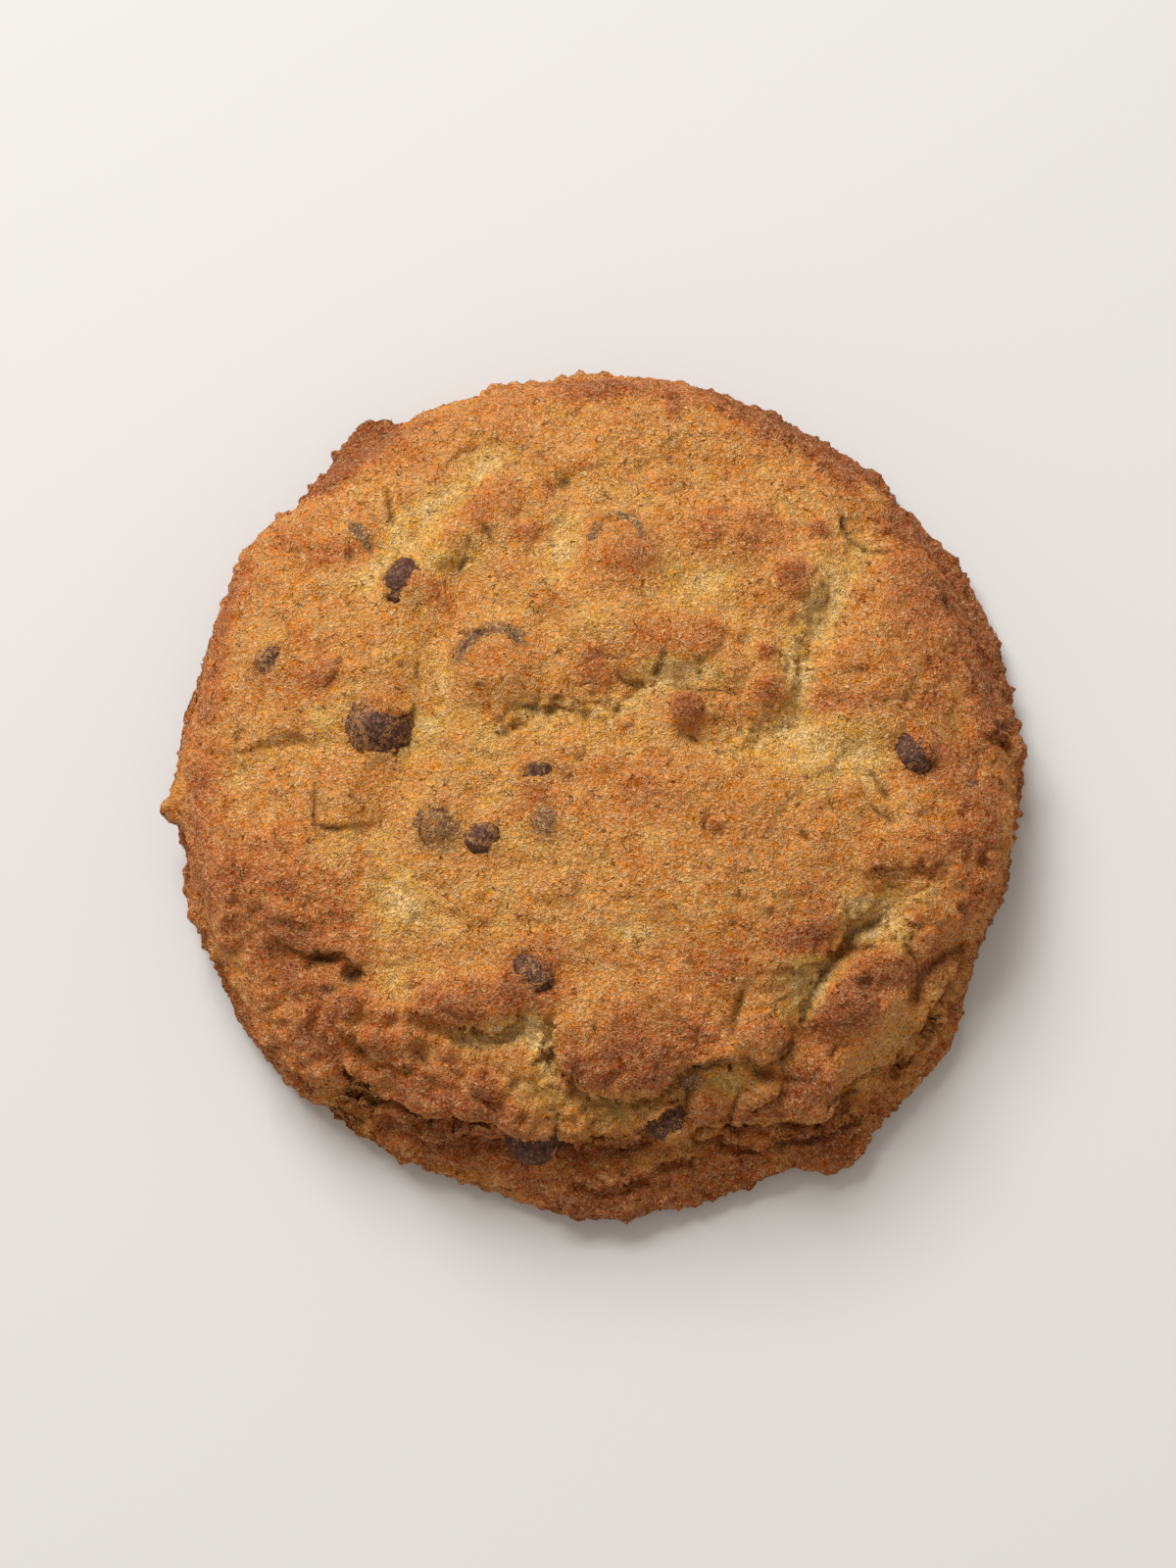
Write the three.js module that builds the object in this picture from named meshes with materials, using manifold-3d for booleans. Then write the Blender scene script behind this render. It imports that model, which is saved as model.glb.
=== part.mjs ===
// A thick drop cookie with chocolate chips, in millimetres, +Z up, lying on its flat baked base.
//
// The dough is one solid: a domed cap with browned mounds and pale creases, whose lip overhangs a wider skirt
// at the front, with crags baked on to the rim. Every chip is a solid of its own in a socket of the dough.
import * as THREE from "three";
import { ImprovedNoise } from "three/addons/math/ImprovedNoise.js";
import { mergeVertices } from "three/addons/utils/BufferGeometryUtils.js";
import Module from "manifold-3d";

// Driving dimensions of the dough.
const SKIRT_RADIUS = 49.8;
const CAP_RADIUS = 50.3;
const CROWN_HEIGHT = 20.2;
const SHOULDER_HEIGHT = 12.6;
const SHOULDER_INSET = 2.8; // the shoulder lies this far inside the lip
const LIP_HEIGHT = 9.4;
const GROOVE_DROP = 2.7; // the groove under the lip lies this far below it
const GROOVE_DEPTH = 1.5;
const FULL_OVERHANG = 6; // the groove is fully deep where the skirt reaches this far beyond the lip
const SKIRT_SHOULDER_HEIGHT = 5;
const SKIRT_SHOULDER_SHARE = 0.65; // how far out the skirt's shoulder lies, from the lip to the widest line
const SKIRT_HEIGHT = 2.2; // height of the skirt's widest line
const FOOT_INSET = 1.8; // the flat base ends this far inside the widest line
const DOME_POWER = 2.7; // a higher power gives a flatter top and a rounder edge
const DOME_TANGENT_SHARE = 0.93; // the side's curve leaves the dome here, as a share of the shoulder's radius

// Fineness of the dough's surface: an icosphere of 20 * (detail + 1)^2 triangles, split between its zones.
const SPHERE_DETAIL = 19;
const TOP_END = 0.54; // share of the half turn from pole to pole that becomes the domed top
const SIDE_END = 0.8; // and the share where the side ends and the flat base begins
const ROUGH_FROM = 0.25; // on the way down the side, folds and crags are at full strength from this share
const ROUGH_UNTIL = 0.85; // to this one
const RELIEF_GONE_AT = 0.5; // and the relief of the top has died out at this one
const SPHERE_WELD = 1e-4; // corners of the unit sphere closer than this are one
const SOLID_WELD = 1e-3; // corners of a solid closer than this, in millimetres, are one

// Where the outline swells or draws in: azimuth and spread in degrees from +X, change of radius in millimetres.
const SKIRT_SWELLS = [
  { at: 39, spread: 34, by: 2.2 },
  { at: 313, spread: 20, by: 2.2 },
  { at: 268, spread: 10, by: 1.1 },
  { at: 222, spread: 13, by: 0.9 },
  { at: 252, spread: 8, by: -0.9 },
  { at: 337, spread: 9, by: -0.9 },
  { at: 19, spread: 9, by: 0.9 },
  { at: 66, spread: 10, by: 0.8 },
];
const CAP_SWELLS = [
  { at: 274, spread: 36, by: -7.6 },
  { at: 288, spread: 9, by: -1.3 },
  { at: 326, spread: 16, by: -2.2 },
  { at: 27, spread: 30, by: -1.9 },
  { at: 165, spread: 9, by: -0.8 },
  { at: 192, spread: 20, by: -1.3 },
  { at: 125, spread: 9, by: -0.9 },
  { at: 99, spread: 7, by: -0.7 },
];

// Browned mounds of the top: centre, half length and half width, turn in degrees and rise.
const MOUNDS = [
  { name: "crown", at: [12.5, -5], half: [18, 8.5], turn: -8, rise: 1.56 },
  { name: "south crown", at: [14, -18], half: [18, 8], turn: -5, rise: 1.92 },
  { name: "east", at: [34, 15.5], half: [8.5, 10.5], turn: 10, rise: 2.52 },
  { name: "middle ridge", at: [4.5, 16.5], half: [11, 4.6], turn: -20, rise: 2.04 },
  { name: "north-east", at: [15.5, 29], half: [6.8, 3.7], turn: -5, rise: 1.8 },
  { name: "north cover", at: [3.5, 25.5], half: [4.8, 4.4], turn: 0, rise: 1.44 },
  { name: "centre cover", at: [-11, 11], half: [5.6, 4.9], turn: 0, rise: 1.68 },
  { name: "north-west ridge", at: [-15, 30], half: [8.6, 3.3], turn: 42, rise: 1.56 },
  { name: "west inner", at: [-24, 14.5], half: [4.7, 7], turn: 0, rise: 1.32 },
  { name: "west shoulder", at: [-37, 14.5], half: [7, 8.6], turn: 20, rise: 1.2 },
  { name: "south-west", at: [-38.5, -12.5], half: [10, 7], turn: -12, rise: 2.16 },
  { name: "west patch", at: [-28, -3.5], half: [4.3, 3], turn: 0, rise: 0.96 },
  { name: "south ridge", at: [-13.5, -26.5], half: [9, 3.1], turn: 4, rise: 2.4 },
  { name: "south", at: [6, -31], half: [11.5, 7], turn: 6, rise: 3.12 },
  { name: "south knob", at: [17.5, -32.5], half: [4.2, 3.2], turn: 0, rise: 1.92 },
  { name: "south-east", at: [30, -27.5], half: [5.8, 4.3], turn: 20, rise: 2.4 },
  { name: "east shoulder", at: [40, -10], half: [6.5, 10], turn: 18, rise: 1.32 },
  { name: "north-east knob", at: [23, 23], half: [3.2, 2.9], turn: 0, rise: 1.44 },
  { name: "red knob", at: [10.5, 7], half: [2.6, 2.4], turn: 0, rise: 1.32 },
  { name: "river knob", at: [20.5, 10.5], half: [3, 3.6], turn: 0, rise: 1.08 },
  { name: "north shoulder", at: [3, 42.5], half: [15, 5.2], turn: 0, rise: 1.08 },
  { name: "front lip", at: [-8, -36], half: [10, 4.6], turn: -8, rise: 1.08 },
  { name: "south-east fold", at: [28.5, -36], half: [8.5, 3.4], turn: 30, rise: 1.44 },
];

// Pale creases between the mounds: the line they follow, half width and depth.
const CREASES = [
  { name: "north-west valley", line: [[-12.5, 38], [-18, 31.5], [-24.5, 25]], half: 2, depth: 1.2 },
  {
    name: "west valley",
    line: [[-17.5, 21.5], [-19, 12], [-21, 4.5], [-24, -2], [-27, -11], [-23, -20], [-22, -25.5]],
    half: 2.8,
    depth: 1.4,
  },
  { name: "north dip", line: [[-3, 33.5], [-4, 26], [-2.5, 20]], half: 2, depth: 0.9 },
  {
    name: "river",
    line: [[32, 29], [30, 23.5], [27, 17], [23.5, 12], [22.5, 5.5], [18, 2]],
    half: 2.2,
    depth: 1.6,
  },
  { name: "river foot", line: [[10, 3.5], [18.5, 2], [27.5, 2.5], [35, 0.5]], half: 2, depth: 0.9 },
  { name: "middle crack", line: [[-10, 6.5], [-2, 7], [4, 9.5], [10, 10]], half: 1.5, depth: 1.3 },
  {
    name: "south-east valley",
    line: [[34, -15], [30.5, -18.5], [26.5, -22], [23.5, -27], [25, -32]],
    half: 1.8,
    depth: 2,
  },
  {
    name: "front crack",
    line: [[4, -38.5], [10, -36.5], [15.5, -35.5], [20.5, -33], [24, -29.5]],
    half: 1.4,
    depth: 2,
  },
  { name: "ledge under the south mound", line: [[-5, -33], [-2, -37.5], [4, -38.8]], half: 1.6, depth: 1.5 },
  { name: "ledge under the south ridge", line: [[-21, -29], [-14, -30.5], [-8, -30]], half: 1.6, depth: 1.5 },
  { name: "west crease", line: [[-44, -1], [-39.5, 2], [-34, 3.5], [-30, 3.2]], half: 1.2, depth: 0.8 },
  {
    name: "fold inside the skirt",
    line: [[43.5, -19], [40, -24], [37, -29], [33, -33], [27.5, -37.5]],
    half: 1.7,
    depth: 1.8,
  },
];

// Crags baked on to the rim: azimuth and spread in degrees, middle height and half height, and reach outwards.
const CRAGS = [
  { name: "north-west tab", at: 124, spread: 6.5, height: 4.8, half: 2.8, reach: 3.6 },
  { name: "south-east lump", at: 303.5, spread: 5.5, height: 3.2, half: 2.4, reach: 2.3 },
  { name: "east spur", at: 5.3, spread: 2.6, height: 7.4, half: 2, reach: 1.7 },
  { name: "west spur", at: 181, spread: 2.4, height: 7.5, half: 1.8, reach: 1.5 },
  { name: "south-west spur", at: 197, spread: 2.4, height: 8, half: 1.8, reach: 1 },
  { name: "north crag", at: 104, spread: 6, height: 6.5, half: 2, reach: 0.5 },
  { name: "north-west crag", at: 150, spread: 4, height: 6, half: 2, reach: 1.1 },
  { name: "front fold", at: 281, spread: 17, height: 5.2, half: 1.1, reach: 1 },
];

// Chocolate chips, squat drops that softened in the oven: middle in plan, diameter, how far the highest point
// stands over the crust, and the tilt away from upright towards an azimuth. Those in the side state their height.
const CHIP_SIDES = 14;
const CHIP_PROFILE = [
  [0, -0.36],
  [0.42, -0.36],
  [0.5, -0.24],
  [0.47, -0.04],
  [0.34, 0.16],
  [0.18, 0.3],
  [0, 0.36],
]; // radius and height, as shares of the diameter
const CHIPS = [
  { name: "chip_west_large", at: [-25.5, 5.4], size: 10, proud: 1.8, tilt: 12, towards: 200 },
  { name: "chip_west_small", at: [-38.6, 13.4], size: 7.6, proud: 0.7, tilt: 20, towards: 150 },
  { name: "chip_north_west", at: [-22.8, 22.2], size: 8.4, proud: 1.1, tilt: 25, towards: 190 },
  { name: "chip_north_west_deep", at: [-27.4, 29], size: 7.4, proud: 0.7, tilt: 15, towards: 320 },
  { name: "chip_centre", at: [-12, 12.4], size: 8.4, proud: 0.7, tilt: 160, towards: 270 },
  { name: "chip_north", at: [3, 26], size: 7.8, proud: 0.7, tilt: 155, towards: 280 },
  { name: "chip_south_west_left", at: [-18.5, -6.5], size: 5.8, proud: 1.2, tilt: 20, towards: 160 },
  { name: "chip_south_west_right", at: [-12.7, -7.8], size: 4.8, proud: 1.1, tilt: 40, towards: 20 },
  { name: "chip_middle", at: [-7, -0.3], size: 6.4, proud: 0.7, tilt: 15, towards: 90 },
  { name: "chip_middle_deep", at: [-5.4, -6.6], size: 5.4, proud: 0.6, tilt: 10, towards: 0 },
  { name: "chip_south", at: [-6.8, -23.8], size: 7.4, proud: 0.9, tilt: 30, towards: 315 },
  { name: "chip_east", at: [37, 2.2], size: 7.6, proud: 0.9, tilt: 30, towards: 300 },
  { name: "chip_front", at: [-7.2, -42.2], height: 7.4, size: 7.6, tilt: 70, towards: 270 },
  { name: "chip_front_crack", at: [8.4, -39.8], height: 10, size: 7, tilt: 55, towards: 285 },
];
const SOCKET_GROWTH = 0.8; // a socket is this much wider than its chip, which leaves about 0.3 round it

// Fine unevenness: its depth, the distances over which it changes, and which slice of the noise it is taken from.
const SIDE_FOLD = { depth: 1.1, along: 9, up: 2.4, wander: 5, drift: 16, slice: 3.5 };
const TOP_GRAIN = { depth: 0.3, along: 5, slice: 0.5 };

const noise = new ImprovedNoise();
const radians = THREE.MathUtils.degToRad;
const smooth = THREE.MathUtils.smoothstep;

// How strongly something is felt at a distance, as a share of its spread: a higher power gives a flatter middle.
function felt(share, power) {
  return Math.exp(-(Math.abs(share) ** power));
}

// How far an azimuth is from what is centred on another one, as a share of its spread, all in degrees.
function awayFrom({ at, spread }, azimuth) {
  return (((azimuth - at + 540) % 360) - 180) / spread;
}

function azimuthOf(x, y) {
  return (THREE.MathUtils.radToDeg(Math.atan2(y, x)) + 360) % 360;
}

// The radius at an azimuth: a circle, changed by the swells near it.
function outline(radius, swells, azimuth) {
  return swells.reduce((sum, swell) => sum + swell.by * felt(awayFrom(swell, azimuth), 2), radius);
}

// How far the crags of the rim reach out at an azimuth and a height.
function cragReach(azimuth, z) {
  return CRAGS.reduce((sum, crag) => {
    const round = felt(awayFrom(crag, azimuth), 4);
    return sum + crag.reach * round * felt((z - crag.height) / crag.half, 2);
  }, 0);
}

function outlinesAt(x, y) {
  const azimuth = azimuthOf(x, y);
  return {
    skirt: outline(SKIRT_RADIUS, SKIRT_SWELLS, azimuth),
    cap: outline(CAP_RADIUS, CAP_SWELLS, azimuth),
  };
}

// A mound's rise at a point: flat on top, steeper at its edge.
function moundRise(mound, x, y) {
  const turn = radians(mound.turn);
  const [dx, dy] = [x - mound.at[0], y - mound.at[1]];
  const along = (dx * Math.cos(turn) + dy * Math.sin(turn)) / mound.half[0];
  const across = (dy * Math.cos(turn) - dx * Math.sin(turn)) / mound.half[1];
  return mound.rise * felt(Math.hypot(along, across), 3);
}

// A crease's depth at a point, from the distance to its line.
function creaseDepth(crease, x, y) {
  const point = new THREE.Vector3(x, y, 0);
  const nearest = new THREE.Vector3();
  let distance = Infinity;
  for (let i = 1; i < crease.line.length; i++) {
    const stretch = new THREE.Line3(
      new THREE.Vector3(...crease.line[i - 1], 0),
      new THREE.Vector3(...crease.line[i], 0),
    );
    stretch.closestPointToPoint(point, true, nearest);
    distance = Math.min(distance, nearest.distanceTo(point));
  }
  return crease.depth * felt(distance / crease.half, 2);
}

// The layered folds of the side, which wander up and down on their way round.
function sideFold(x, y, z) {
  const level = z + SIDE_FOLD.wander * noise.noise(x / SIDE_FOLD.drift, y / SIDE_FOLD.drift, SIDE_FOLD.slice);
  return SIDE_FOLD.depth * noise.noise(x / SIDE_FOLD.along, y / SIDE_FOLD.along, level / SIDE_FOLD.up);
}

function relief(x, y) {
  const rise = MOUNDS.reduce((sum, mound) => sum + moundRise(mound, x, y), 0);
  const depth = Math.max(...CREASES.map((crease) => creaseDepth(crease, x, y)));
  const grain = TOP_GRAIN.depth * noise.noise(x / TOP_GRAIN.along, y / TOP_GRAIN.along, TOP_GRAIN.slice);
  return rise - depth + grain;
}

// The smooth dome's height at a distance from the middle, for a cap of that radius.
function domeHeight(distance, cap) {
  const share = distance / (cap - SHOULDER_INSET);
  return SHOULDER_HEIGHT + (CROWN_HEIGHT - SHOULDER_HEIGHT) * (1 - share ** DOME_POWER);
}

// The dome and its relief, inside the shoulder.
function crustHeight(x, y) {
  return domeHeight(Math.hypot(x, y), outlinesAt(x, y).cap) + relief(x, y);
}

// The side's section at one azimuth, from the shoulder over the lip, the groove and the skirt to the foot.
function sideSection({ cap, skirt }) {
  const shoulder = cap - SHOULDER_INSET;
  const inside = DOME_TANGENT_SHARE * shoulder;
  const overhang = smooth(skirt - cap, 0, FULL_OVERHANG);
  const points = [
    [inside, domeHeight(inside, cap)],
    [shoulder, SHOULDER_HEIGHT],
    [cap, LIP_HEIGHT],
    [cap - GROOVE_DEPTH * overhang, LIP_HEIGHT - GROOVE_DROP],
    [THREE.MathUtils.lerp(cap, skirt, SKIRT_SHOULDER_SHARE), SKIRT_SHOULDER_HEIGHT],
    [skirt, SKIRT_HEIGHT],
    [skirt - FOOT_INSET, 0],
  ].map(([r, z]) => new THREE.Vector2(r, z));
  return new THREE.SplineCurve(points);
}

// Moves a point of the unit sphere on to the dough's surface.
function onDough(direction) {
  const fall = direction.angleTo(new THREE.Vector3(0, 0, 1));
  const azimuth = Math.atan2(direction.y, direction.x);
  const [cos, sin] = [Math.cos(azimuth), Math.sin(azimuth)];
  const radii = outlinesAt(cos, sin);
  const share = fall / Math.PI;
  if (share < TOP_END) {
    const reach = Math.sin(fall / 2) / Math.sin((TOP_END * Math.PI) / 2);
    const r = reach * (radii.cap - SHOULDER_INSET);
    return new THREE.Vector3(r * cos, r * sin, domeHeight(r, radii.cap) + relief(r * cos, r * sin));
  }
  if (share >= SIDE_END) {
    const reach = Math.cos(fall / 2) / Math.cos((SIDE_END * Math.PI) / 2);
    const r = reach * (radii.skirt - FOOT_INSET);
    return new THREE.Vector3(r * cos, r * sin, 0);
  }
  const section = sideSection(radii);
  const skipped = 1 / (section.points.length - 1); // the first stretch belongs to the dome
  const along = (share - TOP_END) / (SIDE_END - TOP_END);
  const at = section.getPoint(skipped + (1 - skipped) * along);
  const roughness = smooth(along, 0, ROUGH_FROM) * (1 - smooth(along, ROUGH_UNTIL, 1));
  const r = at.x + roughness * (sideFold(at.x * cos, at.x * sin, at.y) + cragReach(azimuthOf(cos, sin), at.y));
  return new THREE.Vector3(r * cos, r * sin, at.y + relief(r * cos, r * sin) * (1 - smooth(along, 0, RELIEF_GONE_AT)));
}

function doughSkin() {
  const geometry = new THREE.IcosahedronGeometry(1, SPHERE_DETAIL);
  geometry.deleteAttribute("normal");
  geometry.deleteAttribute("uv");
  const skin = mergeVertices(geometry, SPHERE_WELD);
  const position = skin.getAttribute("position");
  for (let i = 0; i < position.count; i++) {
    const point = onDough(new THREE.Vector3().fromBufferAttribute(position, i));
    position.setXYZ(i, point.x, point.y, point.z);
  }
  return skin;
}

function chipGeometry(size) {
  const profile = CHIP_PROFILE.map(([r, z]) => new THREE.Vector2(r * size, z * size));
  const geometry = new THREE.LatheGeometry(profile, CHIP_SIDES);
  geometry.rotateX(Math.PI / 2); // a lathe turns about Y, and a chip stands along Z
  return geometry;
}

// Puts a chip, or its socket, into place: tilted, then sunk into the crust until it stands as proud as stated.
function placeChip(object, chip) {
  const [x, y] = chip.at;
  const lean = radians(chip.towards);
  const axis = new THREE.Vector3(-Math.sin(lean), Math.cos(lean), 0);
  object.quaternion.setFromAxisAngle(axis, radians(chip.tilt));
  const tilted = chipGeometry(chip.size).applyQuaternion(object.quaternion);
  tilted.computeBoundingBox();
  const height = chip.height ?? crustHeight(x, y) + chip.proud - tilted.boundingBox.max.z;
  object.position.set(x, y, height);
  object.updateMatrix();
  return object;
}

const wasm = await Module();
wasm.setup();

function solidOf(geometry) {
  const bare = geometry.clone();
  bare.deleteAttribute("normal");
  bare.deleteAttribute("uv");
  const merged = mergeVertices(bare, SOLID_WELD);
  return new wasm.Manifold(
    new wasm.Mesh({
      numProp: 3,
      vertProperties: merged.getAttribute("position").array,
      triVerts: new Uint32Array(merged.index.array),
    }),
  );
}

function geometryOf(solid) {
  const { vertProperties, triVerts } = solid.getMesh();
  return new THREE.BufferGeometry()
    .setAttribute("position", new THREE.BufferAttribute(vertProperties, 3))
    .setIndex(new THREE.BufferAttribute(triVerts, 1));
}

// The dough with a socket cut for every chip. Scraps that a cut leaves loose are dropped.
function doughGeometry() {
  let dough = solidOf(doughSkin());
  for (const chip of CHIPS) {
    const socket = placeChip(new THREE.Object3D(), chip);
    const cutter = chipGeometry(chip.size + SOCKET_GROWTH).applyMatrix4(socket.matrix);
    dough = dough.subtract(solidOf(cutter));
  }
  const pieces = dough.decompose().sort((a, b) => b.volume() - a.volume());
  return geometryOf(pieces[0]);
}

const bakedDough = new THREE.MeshStandardMaterial({ color: 0xc0843f, roughness: 0.85, metalness: 0 });
const chocolate = new THREE.MeshStandardMaterial({ color: 0x3d2219, roughness: 0.5, metalness: 0 });

const cookie = new THREE.Group();
const dough = new THREE.Mesh(doughGeometry(), bakedDough);
dough.name = "dough";
cookie.add(dough);
for (const chip of CHIPS) {
  const mesh = placeChip(new THREE.Mesh(chipGeometry(chip.size), chocolate), chip);
  mesh.name = chip.name;
  cookie.add(mesh);
}

// The origin is the middle of the box round the cookie, on the plane that it rests on.
const box = new THREE.Box3().setFromObject(cookie);
const middle = box.getCenter(new THREE.Vector3());
cookie.position.set(-middle.x, -middle.y, 0);

export default cookie;
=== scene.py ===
# %% [markdown]
# # A chocolate chip cookie
# A thick bakery cookie is a ball of dough that slumped and browned in the oven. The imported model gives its
# true form: a domed cap over a wider skirt, and a solid for each chip. This notebook keeps that form and adds
# what the eye looks for in a baked thing: a crumbly crust, cracks and pores, browning on all that stood high,
# and crust that half covers the chips.

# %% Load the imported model
import math

import bpy
import numpy as np
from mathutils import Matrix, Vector, noise
from mathutils.bvhtree import BVHTree


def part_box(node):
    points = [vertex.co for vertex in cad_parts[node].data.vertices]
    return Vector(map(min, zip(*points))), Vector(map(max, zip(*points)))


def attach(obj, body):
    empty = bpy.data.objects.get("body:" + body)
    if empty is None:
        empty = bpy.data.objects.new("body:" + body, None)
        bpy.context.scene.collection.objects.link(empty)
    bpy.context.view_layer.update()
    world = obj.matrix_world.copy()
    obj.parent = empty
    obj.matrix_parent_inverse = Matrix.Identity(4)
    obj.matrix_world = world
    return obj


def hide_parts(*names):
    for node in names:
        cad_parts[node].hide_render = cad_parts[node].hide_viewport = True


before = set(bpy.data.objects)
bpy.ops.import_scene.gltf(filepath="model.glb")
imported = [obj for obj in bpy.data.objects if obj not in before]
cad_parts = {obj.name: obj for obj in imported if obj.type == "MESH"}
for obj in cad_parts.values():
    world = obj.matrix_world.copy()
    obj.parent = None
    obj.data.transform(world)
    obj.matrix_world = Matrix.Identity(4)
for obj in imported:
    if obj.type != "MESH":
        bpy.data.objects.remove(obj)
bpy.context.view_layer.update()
MM = 0.001
CHIP_NODES = sorted(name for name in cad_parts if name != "dough")
print("model loaded:", len(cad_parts), "nodes")

# %% [markdown]
# Every step works on one piece at a time. Blender's operators act on all that is selected, so each helper
# first clears the selection. A modifier is applied at once, so that the finished mesh holds its own detail.


# %% Helpers for selecting, copying and applying
def select_only(*pieces):
    bpy.ops.object.select_all(action="DESELECT")
    for piece in pieces:
        piece.select_set(True)
    bpy.context.view_layer.objects.active = pieces[0]


def modify(piece, kind, **settings):
    """Adds a modifier with its settings and applies it."""
    modifier = piece.modifiers.new(kind.title(), kind)
    for name, value in settings.items():
        setattr(modifier, name, value)
    select_only(piece)
    bpy.ops.object.modifier_apply(modifier=modifier.name)


def copy_of_node(node, name):
    """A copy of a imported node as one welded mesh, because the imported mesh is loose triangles."""
    piece = bpy.data.objects.new(name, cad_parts[node].data.copy())
    bpy.context.collection.objects.link(piece)
    piece.data.materials.clear()
    select_only(piece)
    bpy.ops.object.mode_set(mode="EDIT")
    bpy.ops.mesh.select_all(action="SELECT")
    bpy.ops.mesh.remove_doubles(threshold=0.001 * MM)
    bpy.ops.object.mode_set(mode="OBJECT")
    return piece


def points_of(piece):
    """The piece's vertices in millimetres, one row each."""
    flat = np.empty(3 * len(piece.data.vertices), np.float32)
    piece.data.vertices.foreach_get("co", flat)
    return flat.reshape(-1, 3) / MM


def normals_of(piece):
    flat = np.empty(3 * len(piece.data.vertices), np.float32)
    piece.data.vertex_normals.foreach_get("vector", flat)
    return flat.reshape(-1, 3)


def paint(piece, name, weights, steps=250):
    """A vertex group with these weights, in fine steps."""
    group = piece.vertex_groups.new(name=name)
    levels = np.round(np.clip(weights, 0, 1) * steps).astype(int)
    for level in np.unique(levels[levels > 0]).tolist():
        group.add(np.flatnonzero(levels == level).tolist(), level / steps, "REPLACE")
    return group


def store(piece, name, values):
    """A number for each vertex, which a material can read."""
    layer = piece.data.attributes.new(name, "FLOAT", "POINT")
    layer.data.foreach_set("value", np.asarray(values, np.float32))


# %% [markdown]
# The camera looks down steeply, ten degrees from straight above, so that the front edge shows a little of the
# cookie's side. An 85 mm lens less than half a metre away is how such a product shot is usually taken.

# %% Camera
CAMERA_ELEVATION = math.radians(80)
CAMERA_DISTANCE = 441.8 * MM
CAMERA_TARGET = Vector((-1.15, 0.9, 5.0)) * MM
view_from = Vector((0, -math.cos(CAMERA_ELEVATION), math.sin(CAMERA_ELEVATION)))
bpy.ops.object.camera_add(location=CAMERA_TARGET + CAMERA_DISTANCE * view_from)
camera = bpy.context.object
camera.rotation_euler = view_from.to_track_quat("Z", "Y").to_euler()
camera.data.lens = 85
camera.data.sensor_width = 36
camera.data.clip_start = 10 * MM
bpy.context.scene.camera = camera
print("camera", round(CAMERA_DISTANCE, 3), "m from the cookie")

# %% [markdown]
# A material is a small tree of nodes. One function adds a node with its settings and links, and one turns the
# hex colours of a paint chart into the linear values that the renderer works with.

# %% Colours and nodes
bpy.context.scene.view_settings.view_transform = "Standard"


def linear(hex_colour):
    """An sRGB hex colour as linear red, green, blue and alpha."""
    channels = [int(hex_colour[i : i + 2], 16) / 255 for i in (1, 3, 5)]
    return [c / 12.92 if c <= 0.04045 else ((c + 0.055) / 1.055) ** 2.4 for c in channels] + [1.0]


def add_node(tree, kind, inputs=None, **settings):
    """Adds a node, sets its properties, and fills or links its inputs by name or number."""
    node = tree.nodes.new(kind)
    for name, value in settings.items():
        setattr(node, name, value)
    for key, value in (inputs or {}).items():
        if isinstance(value, bpy.types.NodeSocket):
            tree.links.new(value, node.inputs[key])
        else:
            node.inputs[key].default_value = value
    return node


def set_ramp(node, stops):
    """Fills a colour ramp with (position, hex colour) stops and returns its colour output."""
    elements = node.color_ramp.elements
    for position, colour in stops[1:-1]:
        elements.new(position).color = linear(colour)
    for element, (position, colour) in zip((elements[0], elements[-1]), (stops[0], stops[-1])):
        element.position, element.color = position, linear(colour)
    return node.outputs["Color"]


def new_material(name):
    """A material with only a Principled shader and its output."""
    material = bpy.data.materials.new(name)
    material.use_nodes = True
    tree = material.node_tree
    tree.nodes.clear()
    shader = add_node(tree, "ShaderNodeBsdfPrincipled")
    add_node(tree, "ShaderNodeOutputMaterial", {"Surface": shader.outputs[0]})
    return material, tree, shader


# %% [markdown]
# Soft light from a large window at the upper left models the mounds: their lower right sides fall into a
# gentle shade. A large area light stands in for the window, and the world lifts the shadows. The floor is a
# pale slab.

# %% Floor and lights
WINDOW = dict(azimuth=118, elevation=43.5, distance=1.6, size=0.9, power=25.4)
WINDOW_COLOUR = "#fdfaf8"
SKY_COLOUR, SKY_STRENGTH = "#fff2e2", 0.43
SLAB_COLOUR = "#e3e5e7"
turn, rise = math.radians(WINDOW["azimuth"]), math.radians(WINDOW["elevation"])
towards = Vector((math.cos(rise) * math.cos(turn), math.cos(rise) * math.sin(turn), math.sin(rise)))
bpy.ops.object.light_add(type="AREA", location=towards * WINDOW["distance"])
window = bpy.context.object
window.name = "window"
window.rotation_euler = towards.to_track_quat("Z", "Y").to_euler()
window.data.size = WINDOW["size"]
window.data.energy = WINDOW["power"]
window.data.color = linear(WINDOW_COLOUR)[:3]

world = bpy.data.worlds.new("studio")
world.use_nodes = True
world.node_tree.nodes["Background"].inputs["Color"].default_value = linear(SKY_COLOUR)
world.node_tree.nodes["Background"].inputs["Strength"].default_value = SKY_STRENGTH
bpy.context.scene.world = world

bpy.ops.mesh.primitive_plane_add(size=4, location=(0, 0, -0.05 * MM))
floor = bpy.context.object
floor.name = "floor"
floor_material, _, floor_shader = new_material("painted_slab")
floor_shader.inputs["Base Color"].default_value = linear(SLAB_COLOUR)
floor_shader.inputs["Roughness"].default_value = 0.6
floor.data.materials.append(floor_material)

# %% [markdown]
# Chocolate chips leave the oven with their form but not their polish: they slumped a little, and crumbs and
# steam pitted them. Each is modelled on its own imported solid, rounded by subdivision and dented by two
# displacements, so it stays where it is and as large as it is.


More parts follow.
